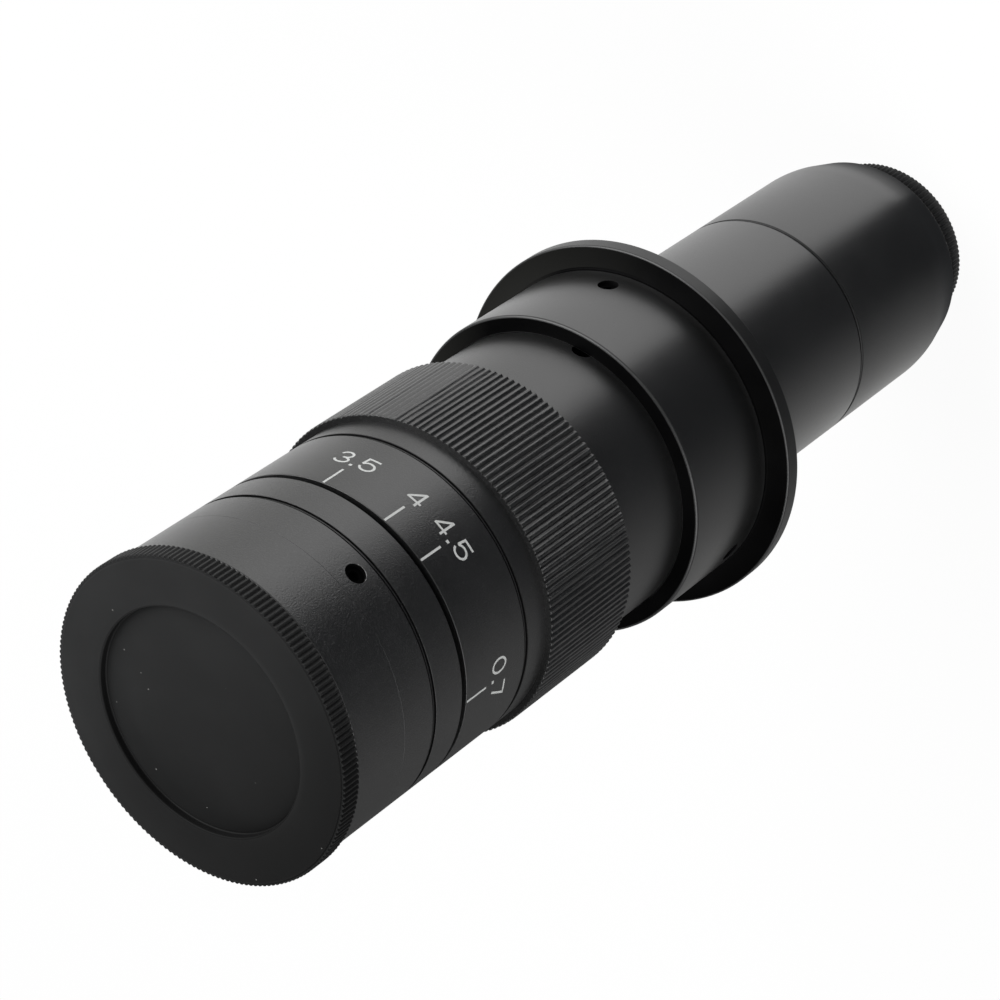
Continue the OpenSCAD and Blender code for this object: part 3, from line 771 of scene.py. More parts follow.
def corners_of(slot: Slot, *places: Point2) -> list[Corner]:
    """Sharp corners with one finish, given by radius and height."""
    return [Corner(r, z, 0.0, slot) for r, z in places]


def stops_of(slot: Slot, *places: Point2) -> list[Stop]:
    """Rings with one finish, given by radius and height."""
    return [Stop(r, z, slot) for r, z in places]


def arc_of(slot: Slot, middle: Point2, radius: float, start: float, end: float,
           steps: int) -> list[Stop]:
    """Rings with one finish along an arc of the profile.

    Args:
        slot: Their place on the piece.
        middle: Radius and height of the arc's middle.
        radius: Radius of the arc.
        start: First angle in degrees; 0 points outward, 90 up.
        end: Last angle in degrees.
        steps: Number of steps from the first ring to the last.

    Returns:
        The rings in order.
    """
    r, z = middle
    turns = [math.radians(start + (end - start) * k / steps) for k in range(steps + 1)]
    return [Stop(r + radius * math.cos(a), z + radius * math.sin(a), slot) for a in turns]


def eased(corners: Sequence[Corner], steps: int = 3, hold: float = 0.05) -> list[Stop]:
    """Breaks the edges of a closed profile.

    Args:
        corners: The profile in order, closed from last to first.
        steps: Number of faces across a broken edge.
        hold: Width of the narrow band that keeps the flat beside an edge flat.

    Returns:
        The rings of the turned mesh.
    """
    rings: list[Stop] = []
    count = len(corners)
    for i, corner in enumerate(corners):
        here = Vector((corner.r, corner.z))
        if corner.ease <= 0:
            rings.append(Stop(corner.r, corner.z, corner.slot))
            continue
        before, after = corners[i - 1], corners[(i + 1) % count]
        to_back = Vector((before.r, before.z)) - here
        to_next = Vector((after.r, after.z)) - here
        back = to_back.normalized()
        onward = to_next.normalized()
        gap = min(to_back.length, to_next.length) * 0.45
        cut = min(corner.ease, gap)
        if cut + hold < to_back.length * 0.49:
            p = here + back * (cut + hold)
            rings.append(Stop(p.x, p.y, corners[i - 1].slot))
        for k in range(steps + 1):
            t = k / steps
            p = here + back * cut * (1 - t) ** 2 + onward * cut * t ** 2
            rings.append(Stop(p.x, p.y, Slot.EDGE if k < steps else corner.slot))
        if cut + hold < to_next.length * 0.49:
            p = here + onward * (cut + hold)
            rings.append(Stop(p.x, p.y, corner.slot))
    return rings


@dataclass
class Turning:
    """Turns rings into a closed mesh round the axis, with drilled pockets where asked.

    Fields give the rings, the number of steps round, the azimuth of the first step in
    degrees, the holes, how many of each stand round, and whether the last ring joins the
    first. Rings that both start and end on the axis stay open.
    """

    rings: list[Stop]
    around: int = 256
    start: float = 0.0
    holes: tuple[Hole, ...] = ()
    hole_count: int = 3
    closed: bool = True

    def _relief(self, step: int, radius: float, z: float) -> float:
        """How far a point stands out from its ring; a plain turning is round."""
        return 0.0

    def _spot(self, radius: float, turn: float, z: float) -> Vector:
        """A point at a radius, an angle from the first step and a height, in metres."""
        a = math.radians(self.start) + turn
        return Vector((radius * math.sin(a), -radius * math.cos(a), z)) * MM

    def _with_rows(self) -> list[Stop]:
        """Adds rows through the wall at each hole.

        Returns:
            The rings, with more rows in each drilled band.
        """
        rings: list[Stop] = []
        count = len(self.rings)
        for i, ring in enumerate(self.rings):
            rings.append(ring)
            after = self.rings[(i + 1) % count]
            for hole in self.holes:
                low, high = sorted((ring.z, after.z))
                wall = abs(ring.r - after.r) < TOUCH and ring.r > HOLE_WALL_R
                if not (wall and low < hole.z < high and ring.slot is Slot.MAIN):
                    continue
                reach = self._reach(hole, ring.r)
                rows = [hole.z + reach * (2 * k / HOLE_ROWS - 1) for k in range(HOLE_ROWS + 1)]
                if after.z < ring.z:
                    rows.reverse()
                rings.extend(Stop(ring.r, z, ring.slot) for z in rows if low + 1e-4 < z < high - 1e-4)
        return rings

    def _reach(self, hole: Hole, radius: float) -> float:
        """Half the height of the window that a hole is set in."""
        return self._cells(hole, radius) * TURN * radius / self.around

    def _cells(self, hole: Hole, radius: float) -> int:
        """Steps from a hole's middle to the side of its window."""
        return math.ceil((hole.radius + HOLE_MARGIN) / (TURN * radius / self.around))

    def mesh(self, name: str) -> bpy.types.Mesh:
        """Builds the mesh.

        Args:
            name: Name of the mesh.

        Returns:
            The mesh, in metres, in the lens's frame.
        """
        rings = self._with_rows()
        made = bmesh.new()
        grid = [self._row(made, ring) for ring in rings]
        self._span_rings(made, rings, grid)
        for hole in self.holes:
            self._drill(made, rings, grid, hole)
        bmesh.ops.recalc_face_normals(made, faces=made.faces)
        made.normal_update()
        data = as_mesh(made, name)
        data.set_sharp_from_angle(angle=SHARP_ANGLE)
        return data

    def _row(self, made: bmesh.types.BMesh, ring: Stop) -> list[bmesh.types.BMVert]:
        """Adds a ring's vertices.

        Args:
            made: The mesh being built.
            ring: The ring; one on the axis gets a single vertex.

        Returns:
            The vertex of each step.
        """
        if ring.r < TOUCH:
            return [made.verts.new((0, 0, ring.z * MM))] * self.around
        row = []
        for j in range(self.around):
            radius = ring.r + self._relief(j, ring.r, ring.z)
            row.append(made.verts.new(self._spot(radius, TURN * j / self.around, ring.z)))
        return row

    def _span_rings(self, made: bmesh.types.BMesh, rings: list[Stop], grid: Grid) -> None:
        """Lays faces between the rings, and leaves the holes' windows open.

        Args:
            made: The mesh being built.
            rings: The rings with their added rows.
            grid: The vertices, by row and step.
        """
        windows = self._windows(rings)
        last = len(rings) if self.closed else len(rings) - 1
        for i in range(last):
            low, high = grid[i], grid[(i + 1) % len(rings)]
            for j in range(self.around):
                if (i, j) in windows:
                    continue
                k = (j + 1) % self.around
                corners = [low[j], low[k], high[k], high[j]]
                corners = [v for n, v in enumerate(corners) if v not in corners[:n]]
                if len(corners) > 2:
                    face = made.faces.new(corners)
                    face.material_index = rings[i].slot.value
                    face.smooth = True

    def add(self, node: str, body: Body, record_slot: str, *finishes: Finish,
            made_as: str = "turning") -> None:
        """Adds the turning to the scene as a piece.

        Args:
            node: The CAD node that it stands for.
            body: The body that it rides on.
            record_slot: The record's material slot; not used.
            finishes: Finishes of the mesh's slots in order.
            made_as: Second part of the piece's name.
        """
        name = f"{node}_{made_as}"
        add_piece(name, self.mesh(name), body, finishes, (node,))

    def _span(self, rings: list[Stop], hole: Hole) -> tuple[int, int, int]:
        """Finds the rows and half width of a hole's window.

        Args:
            rings: The rings with their added rows.
            hole: The hole.

        Returns:
            First row, last row and half width in steps.
        """
        for i, ring in enumerate(rings):
            if ring.r <= HOLE_WALL_R:
                continue
            reach = self._reach(hole, ring.r)
            rows = [k for k in range(i, len(rings)) if abs(rings[k].r - ring.r) < TOUCH
                    and abs(rings[k].z - hole.z) <= reach + 1e-4]
            unbroken = len(rows) >= HOLE_ROWS and rows[-1] - rows[0] == len(rows) - 1
            if unbroken and rows[0] == i:
                return rows[0], rows[-1], self._cells(hole, ring.r)
        raise ValueError(f"no wall for the hole at {hole.z}")

    def _windows(self, rings: list[Stop]) -> set[tuple[int, int]]:
        """Cells that are left open for the holes.

        Args:
            rings: The rings with their added rows.

        Returns:
            Row and step of each open cell.
        """
        found: set[tuple[int, int]] = set()
        for hole in self.holes:
            first, last, cells = self._span(rings, hole)
            for n in range(self.hole_count):
                middle = n * self.around // self.hole_count
                found.update((i, (middle + j) % self.around)
                             for i in range(first, last) for j in range(-cells, cells))
        return found

    def _drill(self, made: bmesh.types.BMesh, rings: list[Stop], grid: Grid, hole: Hole) -> None:
        """Fills a hole's windows with a surround, a small chamfer, a wall and a floor.

        Args:
            made: The mesh being built.
            rings: The rings with their added rows.
            grid: The vertices, by row and step.
            hole: The hole.
        """
        first, last, cells = self._span(rings, hole)
        wall_r = rings[first].r
        step = TURN / self.around
        for n in range(self.hole_count):
            middle = n * self.around // self.hole_count
            loop = [(first, j) for j in range(-cells, cells)]
            loop += [(i, cells) for i in range(first, last)]
            loop += [(last, j) for j in range(cells, -cells, -1)]
            loop += [(i, -cells) for i in range(last, first, -1)]
            before = [grid[i][(middle + j) % self.around] for i, j in loop]
            angles = [math.atan2(rings[i].z - hole.z, j * step * wall_r) for i, j in loop]
            sizes = ((hole.radius + hole.chamfer + 0.05, 0.0, Slot.MAIN),
                     (hole.radius + hole.chamfer, 0.0, hole.edge),
                     (hole.radius, hole.chamfer, Slot.INSIDE), (hole.radius, hole.depth, Slot.INSIDE))
            slot = Slot.MAIN
            for radius, depth, after in sizes:
                circle = []
                for a in angles:
                    u = radius * math.cos(a)
                    out = math.sqrt(wall_r ** 2 - u ** 2) - depth
                    if depth == hole.depth:
                        out = wall_r - depth
                    turn = middle * step + math.atan2(u, out)
                    circle.append(made.verts.new(
                        self._spot(math.hypot(u, out), turn, hole.z + radius * math.sin(a))))
                for k in range(len(circle)):
                    m = (k + 1) % len(circle)
                    face = made.faces.new((before[k], before[m], circle[m], circle[k]))
                    face.smooth = True
                    face.material_index = slot.value
                before, slot = circle, after
            made.faces.new(before).material_index = Slot.INSIDE.value


def as_mesh(made: bmesh.types.BMesh, name: str) -> bpy.types.Mesh:
    """Turns an edited mesh into named mesh data.

    Args:
        made: The edited mesh, which is freed.
        name: Name of the data.

    Returns:
        The mesh data.
    """
    data = bpy.data.meshes.new(name)
    made.to_mesh(data)
    made.free()
    return data


def placed(name: str, data: Any) -> bpy.types.Object:
    """Sets an object into the scene.

    Args:
        name: The object's name.
        data: Its mesh, camera or lamp.

    Returns:
        The object.
    """
    made = bpy.data.objects.new(name, data)
    bpy.context.scene.collection.objects.link(made)
    return made


def add_piece(name: str, data: bpy.types.Mesh, body: Body,
              finishes: Sequence[Finish], nodes: Sequence[str] = ()) -> None:
    """Adds a piece to the scene, dresses it and sets it on its body.

    Args:
        name: The piece's name.
        data: Its mesh.
        body: The body that it rides on.
        finishes: Finishes of the mesh's slots in order.
        nodes: CAD nodes that the piece stands for.
    """
    for finish in finishes:
        data.materials.append(finish.material())
    piece = placed(name, data)
    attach(piece, body.value)
    if nodes:
        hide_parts(*nodes)
    LOG.info("%s: %d faces on %s", name, len(data.polygons), body.value)


@dataclass(frozen=True)
class Knurl:
    """Straight teeth round a ring: count, depth and the share of a pitch that the crest takes.

    Between the two worn teeth most valleys are filled and rubbed to a share of their depth.
    """

    teeth: int
    depth: float
    crest: float = 0.36
    points: int = 10
    worn: tuple[int, int] = (0, 0)
    worn_share: float = 0.45
    worn_skip: int = 5
    corner: float = 0.03

    def offset(self, step: int) -> float:
        """How far a step round the ring lies inside the crest circle.

        Args:
            step: Number of the step, with the first tooth's middle at step 0.

        Returns:
            0 on the crest, less than 0 elsewhere.
        """
        tooth = step // self.points
        rubbed = self.worn[0] <= tooth < self.worn[1] and tooth % self.worn_skip
        deep = self.depth * (self.worn_share if rubbed else 1.0)
        half = (0.0, -0.004, -self.corner, -0.31 * deep, -0.85 * deep, -deep)
        return (half + half[-2:0:-1])[step % self.points]

    def turn(self, step: int) -> float:
        """Finds where a step stands.

        Args:
            step: Number of the step.

        Returns:
            Its angle in radians from the first tooth's middle.
        """
        pitch = TURN / self.teeth
        half = self.crest / 2
        side = 0.5 - half
        shares = (0.0, 0.7 * half, half, half + 0.19 * side, half + 0.69 * side, 0.5)
        shares += tuple(1 - share for share in shares[-2:0:-1])
        return (step // self.points + shares[step % self.points]) * pitch


@dataclass
class KnurledTurning(Turning):
    """A turning whose steps follow a knurl; rings wider than the root circle carry the teeth."""

    knurl: Knurl = field(default_factory=lambda: Knurl(152, 0.32))
    crest_r: float = 24.3

    def __post_init__(self) -> None:
        """Sets the number of steps from the knurl."""
        self.around = self.knurl.teeth * self.knurl.points

    def _relief(self, step: int, radius: float, z: float) -> float:
        """How far a point lies inside the crest circle.

        Args:
            step: Number of the step.
            radius: Radius of the ring; rings inside the root circle stay round.
            z: Height of the ring; not used.

        Returns:
            The offset of the point from its ring.
        """
        root = self.crest_r - self.knurl.depth
        if radius <= root + TOUCH:
            return 0.0
        share = (radius - root) / self.knurl.depth
        return self.knurl.offset(step) * min(1.0, share)

    def _spot(self, radius: float, turn: float, z: float) -> Vector:
        """Finds a point, with its angle taken from the knurl.

        Args:
            radius: Radius of the point.
            turn: Its angle with even steps, in radians.
            z: Its height.

        Returns:
            The point in metres.
        """
        step = round(turn / TURN * self.around)
        a = math.radians(self.start) + self.knurl.turn(step)
        return Vector((radius * math.sin(a), -radius * math.cos(a), z)) * MM


@dataclass(frozen=True)
class ScrewThread:
    """A round thread: pitch and depth in millimetres, and how many rows draw one pitch."""

    pitch: float
    depth: float
    rows: int = 8

    def offset(self, z: float, turn: float, low: float, high: float) -> float:
        """Depth of the groove at a place on the thread.

        Args:
            z: Height of the place.
            turn: Its share of a whole turn.
            low: Height at which the thread starts.
            high: Height at which it ends.

        Returns:
            0 on a crest, less than 0 in the groove.
        """
        wave = abs(((z - low) / self.pitch - turn) % 1.0 * 2 - 1)
        ends = min(1.0, (z - low) / (0.6 * self.pitch), (high - z) / (0.6 * self.pitch))
        return -self.depth * min(1.0, max(0.0, wave * 1.3 - 0.15)) * max(0.0, ends)


@dataclass
class ThreadedTurning(Turning):
    """A turning with a thread cut into its rings of one radius.

    Fields add the thread, the radius of its crests, the heights of its two ends, and the
    side it is cut toward: 1 for the axis, -1 away from it.
    """

    thread: ScrewThread = ScrewThread(0.75, 0.32)
    crest_r: float = 20.0
    ends: Point2 = (0.0, 1.0)
    side: float = 1.0

    def _relief(self, step: int, radius: float, z: float) -> float:
        """Depth of the thread's groove at a point.

        Args:
            step: Number of the step.
            radius: Radius of the ring.
            z: Height of the ring.

        Returns:
            The offset of the point from its ring.
        """
        if abs(radius - self.crest_r) > TOUCH:
            return 0.0
        return self.side * self.thread.offset(z, step / self.around, *self.ends)


# Sub-assemblies.


@dataclass
class FrontCap:
    """Push-on front cap: knurled rim, crowned face, round dish and inner boss."""

    crest_r: float = 23.8
    low: float = 171.75
    top: float = LENS_LENGTH
    dish_r: float = 16.6
    dish_depth: float = 1.3
    floor_t: float = 1.2
    boss_r: float = 19.9
    boss_wall: float = 1.4
    boss_low: float = 167.85
    lip: float = 0.22
    foot: float = 0.2
    knurl: Knurl = Knurl(180, 0.32, crest=0.34)

    def build(self) -> None:
        """Builds and dresses the cap."""
        turning = KnurledTurning(self._outside() + self._dish(), knurl=self.knurl,
                                 crest_r=self.crest_r, closed=False)
        turning.add("front_cap", Body.FRONT_CAP, "cap_plastic",
                    CAP_FACE, CAP_EDGE, SHADED_CAP_WALL, CAP_LIP, made_as="moulding")

    def _outside(self) -> list[Stop]:
        """Rings from the middle of the inner side round the boss to the rim's top edge.

        Returns:
            The rings in order.
        """
        c, top, low = self.crest_r, self.top, self.low
        root = c - self.knurl.depth
        low_face = top - self.dish_depth - self.floor_t
        boss_in = self.boss_r - self.boss_wall
        rings = eased([
            Corner(0, low_face), Corner(boss_in, low_face, 0.2), Corner(boss_in, self.boss_low, 0.12),
            Corner(self.boss_r, self.boss_low, 0.3), Corner(self.boss_r, low, 0.1),
            Corner(root - 0.02, low)])
        rings += stops_of(Slot.EDGE, (c - 0.12, low))
        rings += stops_of(Slot.MAIN, (c, low + 0.12), (c, low + 0.2), (c, top - 0.42))
        rings += stops_of(Slot.EDGE, (c, top - 0.36), (c - 0.05, top - 0.26), (c - 0.14, top - 0.2))
        return rings + stops_of(Slot.FACE, (root - 0.01, top - 0.17), (self._face_r(), top - 0.16))

    def _face_r(self) -> float:
        """Radius of the face's outer edge."""
        return self.crest_r - self.knurl.depth - 0.1

    def _dish(self) -> list[Stop]:
        """Rings from the crowned face over the lip into the dish.

        Returns:
            The rings in order.
        """
        dish_z = self.top - self.dish_depth
        inner = self._face_r() - 0.3
        ring_w = inner - self.dish_r - self.lip
        lip, foot = self.lip, self.foot
        rings = [Stop(self._face_r() - 0.1, self.top - 0.1)]
        for k in range(7):
            x = k / 6
            rings.append(Stop(inner - ring_w * x, self.top - 0.1 * (2 * x - 1) ** 2,
                              Slot.MAIN if k < 6 else Slot.FACE))
        rings += arc_of(Slot.FACE, (self.dish_r + lip, self.top - 0.1 - lip), lip, 120, 180, 3)
        # The dish wall takes the near-black third finish: painted shade inside the dish.
        rings += stops_of(Slot.INSIDE, (self.dish_r, self.top - 0.14 - lip),
                          (self.dish_r, dish_z + foot + 0.04))
        bend = (self.dish_r - foot, dish_z + foot)
        rings += arc_of(Slot.INSIDE, bend, foot, 0, -22.5, 1) + arc_of(Slot.FACE, bend, foot, -45, -90, 2)
        return rings + stops_of(Slot.MAIN, (self.dish_r - foot - 0.1, dish_z), (0, dish_z))


@dataclass
class RearCap:
    """Push-on rear cap: fine knurl, flat end and a round pocket for the camera thread."""

    crest_r: float = 14.4
    height: float = 6.3
    pocket_r: float = 12.8
    floor_t: float = 2.0
    end_flat: float = 11.0
    floor_flat: float = 6.0
    knurl: Knurl = Knurl(110, 0.22, crest=0.38)

    def build(self) -> None:
        """Builds and dresses the cap."""
        c, top, bore, floor = self.crest_r, self.height, self.pocket_r, self.floor_t
        root = c - self.knurl.depth
        rings = stops_of(Slot.MAIN, (0, 0), (self.end_flat, 0), (root - 0.3, 0))
        rings += stops_of(Slot.EDGE, (root - 0.2, 0.02), (root - 0.05, 0.14), (c - 0.08, 0.26))
        rings += stops_of(Slot.MAIN, (c, 0.4), (c, 0.48), (c, top - 0.48))
        rings += stops_of(Slot.EDGE, (c, top - 0.4), (c - 0.08, top - 0.26), (root - 0.05, top - 0.12))
        rings += stops_of(Slot.MAIN, (root - 0.2, top), (root - 0.3, top))
        rings += stops_of(Slot.EDGE, (bore + 0.2, top))
        rings += stops_of(Slot.INSIDE, (bore, top - 0.2), (bore, floor + 0.05), (bore, floor),
                          (self.floor_flat, floor), (0, floor))
        turning = KnurledTurning(rings, knurl=self.knurl, crest_r=c, closed=False)
        turning.add("rear_cap", Body.REAR_CAP, "cap_plastic",
                    CAP_PLASTIC, CAP_EDGE, CAP_PLASTIC, made_as="moulding")


@dataclass
class CameraEnd:
    """Neck, tapered rear tube and the threaded camera mount."""

    neck_r: float = 18.75
    neck_low: float = 39.4
    neck_top: float = 74.9
    joint_low: float = 47.0
    joint_r: float = 17.6
    joint_top: float = 84.1
    relay_low: float = 62.9
    end_z: float = 6.6
    end_r: float = 17.1
    end_round: float = 1.15
    taper_z: float = 14.4
    seam_z: float = 38.9
    taper_round: float = 20.0
    thread_r: float = 12.7
    thread_len: float = 3.8
    mount_r: float = 15.8
    mount_bore: float = 11.2
    neck_bore: float = 16.9
    relay_r: float = 16.0
    relay_bore: float = 15.0
    tube_bore: float = 14.5
    tube_seat: float = 15.5
    mount_top: float = 14.0
    stop_r: float = 13.0
    stop_z: float = 8.6
    thread: ScrewThread = ScrewThread(0.79, 0.36)

    def build(self) -> None:
        """Builds and dresses the three pieces."""
        self._neck()
        self._rear_tube()
        self._mount()

    def _neck(self) -> None:
        """Builds the neck tube."""
        corners = [
            *corners_of(Slot.INSIDE, (self.neck_bore, self.neck_low)),
            Corner(self.neck_r, self.neck_low, 0.16), Corner(self.neck_r, self.neck_top, 0.1),
            Corner(self.joint_r, self.neck_top), Corner(self.joint_r, self.joint_top, 0.15, Slot.INSIDE),
            Corner(self.relay_r, self.joint_top, 0.1, Slot.INSIDE),
            *corners_of(Slot.INSIDE, (self.relay_r, self.relay_low), (self.relay_bore, self.relay_low),
                        (self.relay_bore, self.joint_low), (self.neck_bore, self.joint_low))]
        turning = Turning(eased(corners))
        turning.add("neck_tube", Body.BARREL, "black_anodised", BLACK_ANODISED, EDGE_WORN, INNER_BLACK)

    def _rear_tube(self) -> None:
        """Builds the rear tube with its softly blended taper."""
        slope = math.atan2(self.neck_r - self.end_r, self.taper_z - self.end_z)
        blend = self.taper_round * math.tan(slope / 2)
        lip, incline = self.end_round, math.degrees(slope)
        rings = [Stop(self.mount_r, self.end_z), Stop(self.end_r - lip - 0.05, self.end_z)]
        rings += arc_of(Slot.MAIN, (self.end_r - lip, self.end_z + lip), lip, -90, -incline, 6)
        rings += arc_of(Slot.MAIN, (self.neck_r - self.taper_round, self.taper_z + blend),
                        self.taper_round, -incline, 0, 12)
        seam, seam_r = self.seam_z, self.neck_r
        rings.append(Stop(seam_r, seam - 0.3))
        rings += stops_of(Slot.FACE, (seam_r - 0.02, seam - 0.2), (seam_r - 0.06, seam - 0.1),
                          (seam_r - 0.13, seam - 0.03), (seam_r - 0.28, seam + 0.02),
                          (seam_r - 0.28, self.neck_low))
        rings += stops_of(Slot.INSIDE, (self.neck_bore, self.neck_low), (self.neck_bore, self.joint_low),
                          (self.tube_bore, self.joint_low), (self.tube_bore, self.tube_seat),
                          (self.mount_r, self.tube_seat))
        turning = Turning(rings)
        turning.add("rear_tube", Body.BARREL, "black_anodised",
                    BLACK_ANODISED, EDGE_WORN, INNER_BLACK, GROOVE_DULL)

    def _mount(self) -> None:
        """Builds the camera mount with its outer thread."""
        low, end = self.end_z - self.thread_len, self.end_z
        rows = round(self.thread_len / self.thread.pitch * self.thread.rows)
        rings = [Stop(self.mount_bore, low + 0.2, Slot.EDGE), Stop(self.mount_bore + 0.2, low),
                 Stop(self.thread_r - 0.4, low, Slot.EDGE), Stop(self.thread_r - 0.05, low + 0.28)]
        rings += [Stop(self.thread_r, low + 0.3 + (self.thread_len - 0.35) * k / rows)
                  for k in range(rows + 1)]
        rings += [Stop(self.thread_r - 0.3, end - 0.02), Stop(self.thread_r - 0.3, end),
                  Stop(self.mount_r - 0.1, end, Slot.EDGE), Stop(self.mount_r, end + 0.1)]
        rings += stops_of(Slot.INSIDE, (self.mount_r, self.mount_top), (self.stop_r, self.mount_top),
                          (self.stop_r, self.stop_z), (self.mount_bore, self.stop_z))
        turning = ThreadedTurning(rings, around=192, thread=self.thread, crest_r=self.thread_r,
                                  ends=(low + 0.3, end - 0.05))
        turning.add("camera_mount", Body.BARREL, "thread_black",
                    THREAD_BLACK, EDGE_WORN, INNER_BLACK)


@dataclass
class MainBody:
    """Body tube and the slip-on mounting sleeve with its flange."""

    body_r: float = 22.4
    body_low: float = 74.9
    body_top: float = 114.3
    sleeve_r: float = 25.0
    sleeve_bore: float = 22.45
    sleeve_top: float = 95.6
    flange_r: float = 28.75
    flange_low: float = 74.5
    flange_top: float = 77.1
    fillet: float = 0.4
    joint_r: float = 17.6
    joint_z: float = 90.0
    guide_r: float = 18.4
    guide_z: float = 105.0
    zoom_bore: float = 20.6
    body_hole: Hole = Hole(95.3, 1.5, 2.2)
    body_hole_az: float = 32.7
    sleeve_hole: Hole = Hole(81.1, 1.5, 1.9)
    sleeve_hole_az: float = 46.3

    def build(self) -> None:
        """Builds and dresses the two pieces."""
        self._body()
        self._sleeve()

    def _body(self) -> None:
        """Builds the body tube."""
        corners = [
            Corner(self.joint_r, self.body_low), Corner(self.body_r, self.body_low, 0.3),
            Corner(self.body_r, self.body_top, 0.25),
            Corner(self.zoom_bore, self.body_top, 0.1, Slot.INSIDE),
            *corners_of(Slot.INSIDE, (self.zoom_bore, self.guide_z), (self.guide_r, self.guide_z),
                        (self.guide_r, self.joint_z), (self.joint_r, self.joint_z))]
        turning = Turning(eased(corners), around=360, start=self.body_hole_az, holes=(self.body_hole,))
        turning.add("main_barrel", Body.BARREL, "black_anodised",
                    BLACK_ANODISED, EDGE_WORN, INNER_BLACK)

    def _sleeve(self) -> None:
        """Builds the mounting sleeve with its flange."""
        f = self.fillet
        corners = [
            Corner(self.sleeve_bore, self.flange_low, 0.12, Slot.MAIN),
            Corner(self.flange_r, self.flange_low, 0.28, Slot.RIM),
            Corner(self.flange_r, self.flange_top, 0.28, Slot.LEDGE),
            # The fillet into the flange takes the near-black face finish: painted shade in the corner.
            *corners_of(Slot.FACE, (self.sleeve_r + f, self.flange_top),
                        (self.sleeve_r + 0.12, self.flange_top + 0.12)),
            Corner(self.sleeve_r, self.flange_top + f),
            Corner(self.sleeve_r, self.sleeve_top, 0.36, Slot.FACE),
            Corner(self.sleeve_bore, self.sleeve_top, 0.12, Slot.INSIDE)]
        turning = Turning(eased(corners), around=360, start=self.sleeve_hole_az,
                          holes=(self.sleeve_hole,))
        turning.add("mounting_sleeve", Body.BARREL, "sleeve_anodised",
                    SLEEVE_ANODISED, EDGE_WORN, INNER_BLACK, FACE_DULL, RIM_ANODISED, FLANGE_DULL)


@dataclass
class Stroke:
    """One pen stroke of a figure: the points of its centre line in millimetres."""

    points: list[Point2]
    width: float = 0.35


LINE_STEP = 0.15
BOW_STEP = 9


def line(*points: Point2) -> list[Point2]:
    """Points along straight runs, close enough together to wrap round the ring.

    Args:
        points: The corners of the run.

    Returns:
        Points at most LINE_STEP millimetres apart.
    """
    made = [points[0]]
    for (x0, y0), (x1, y1) in zip(points, points[1:]):
        count = max(1, math.ceil(math.hypot(x1 - x0, y1 - y0) / LINE_STEP))
        made += [(x0 + (x1 - x0) * k / count, y0 + (y1 - y0) * k / count)
                 for k in range(1, count + 1)]
    return made


def bow(cx: float, cy: float, rx: float, ry: float, a0: float, a1: float) -> list[Point2]:
    """Points along part of an ellipse.

    Args:
        cx: Middle, across.
        cy: Middle, up.
        rx: Half width.
        ry: Half height.
        a0: First angle in degrees.
        a1: Last angle in degrees.

    Returns:
        The points in order, at most BOW_STEP degrees apart.
    """
    count = max(4, math.ceil(abs(a1 - a0) / BOW_STEP))
    turns = [math.radians(a0 + (a1 - a0) * k / count) for k in range(count + 1)]
    return [(cx + rx * math.cos(a), cy + ry * math.sin(a)) for a in turns]


FIGURES: dict[str, list[Stroke]] = {
    "0": [Stroke(bow(0, 1.62, 1.03, 1.4, 90, 450))],
    "1": [Stroke(line((-0.5, 2.5), (0.2, 3.02), (0.2, 0.22)))],
    "2": [Stroke(bow(0, 2.1, 0.98, 0.92, 168, -28)[:-1] + line((0.86, 1.66), (-1.0, 0.23), (1.05, 0.23)))],
    "3": [Stroke(bow(-0.02, 2.3, 0.92, 0.72, 172, -90) + [(-0.22, 1.58)]),
          Stroke([(-0.1, 1.58)] + bow(0.02, 0.9, 1.04, 0.68, 90, -176))],
    "4": [Stroke(line((0.6, 0.0), (0.6, 3.2))), Stroke(line((0.52, 3.03), (-1.04, 0.98))),
          Stroke(line((-1.19, 0.88), (1.16, 0.88)))],
    "5": [Stroke(line((1.0, 3.02), (-0.84, 3.02), (-1.0, 1.55))),
          Stroke([(-0.98, 1.6)] + bow(0.03, 1.13, 1.03, 0.92, 148, -170))],
    "7": [Stroke(line((-1.12, 3.02), (1.08, 3.02), (-0.32, 0.2)))],
    ".": [Stroke([(-0.24, 0.24), (0.24, 0.24)], 0.46)],
}


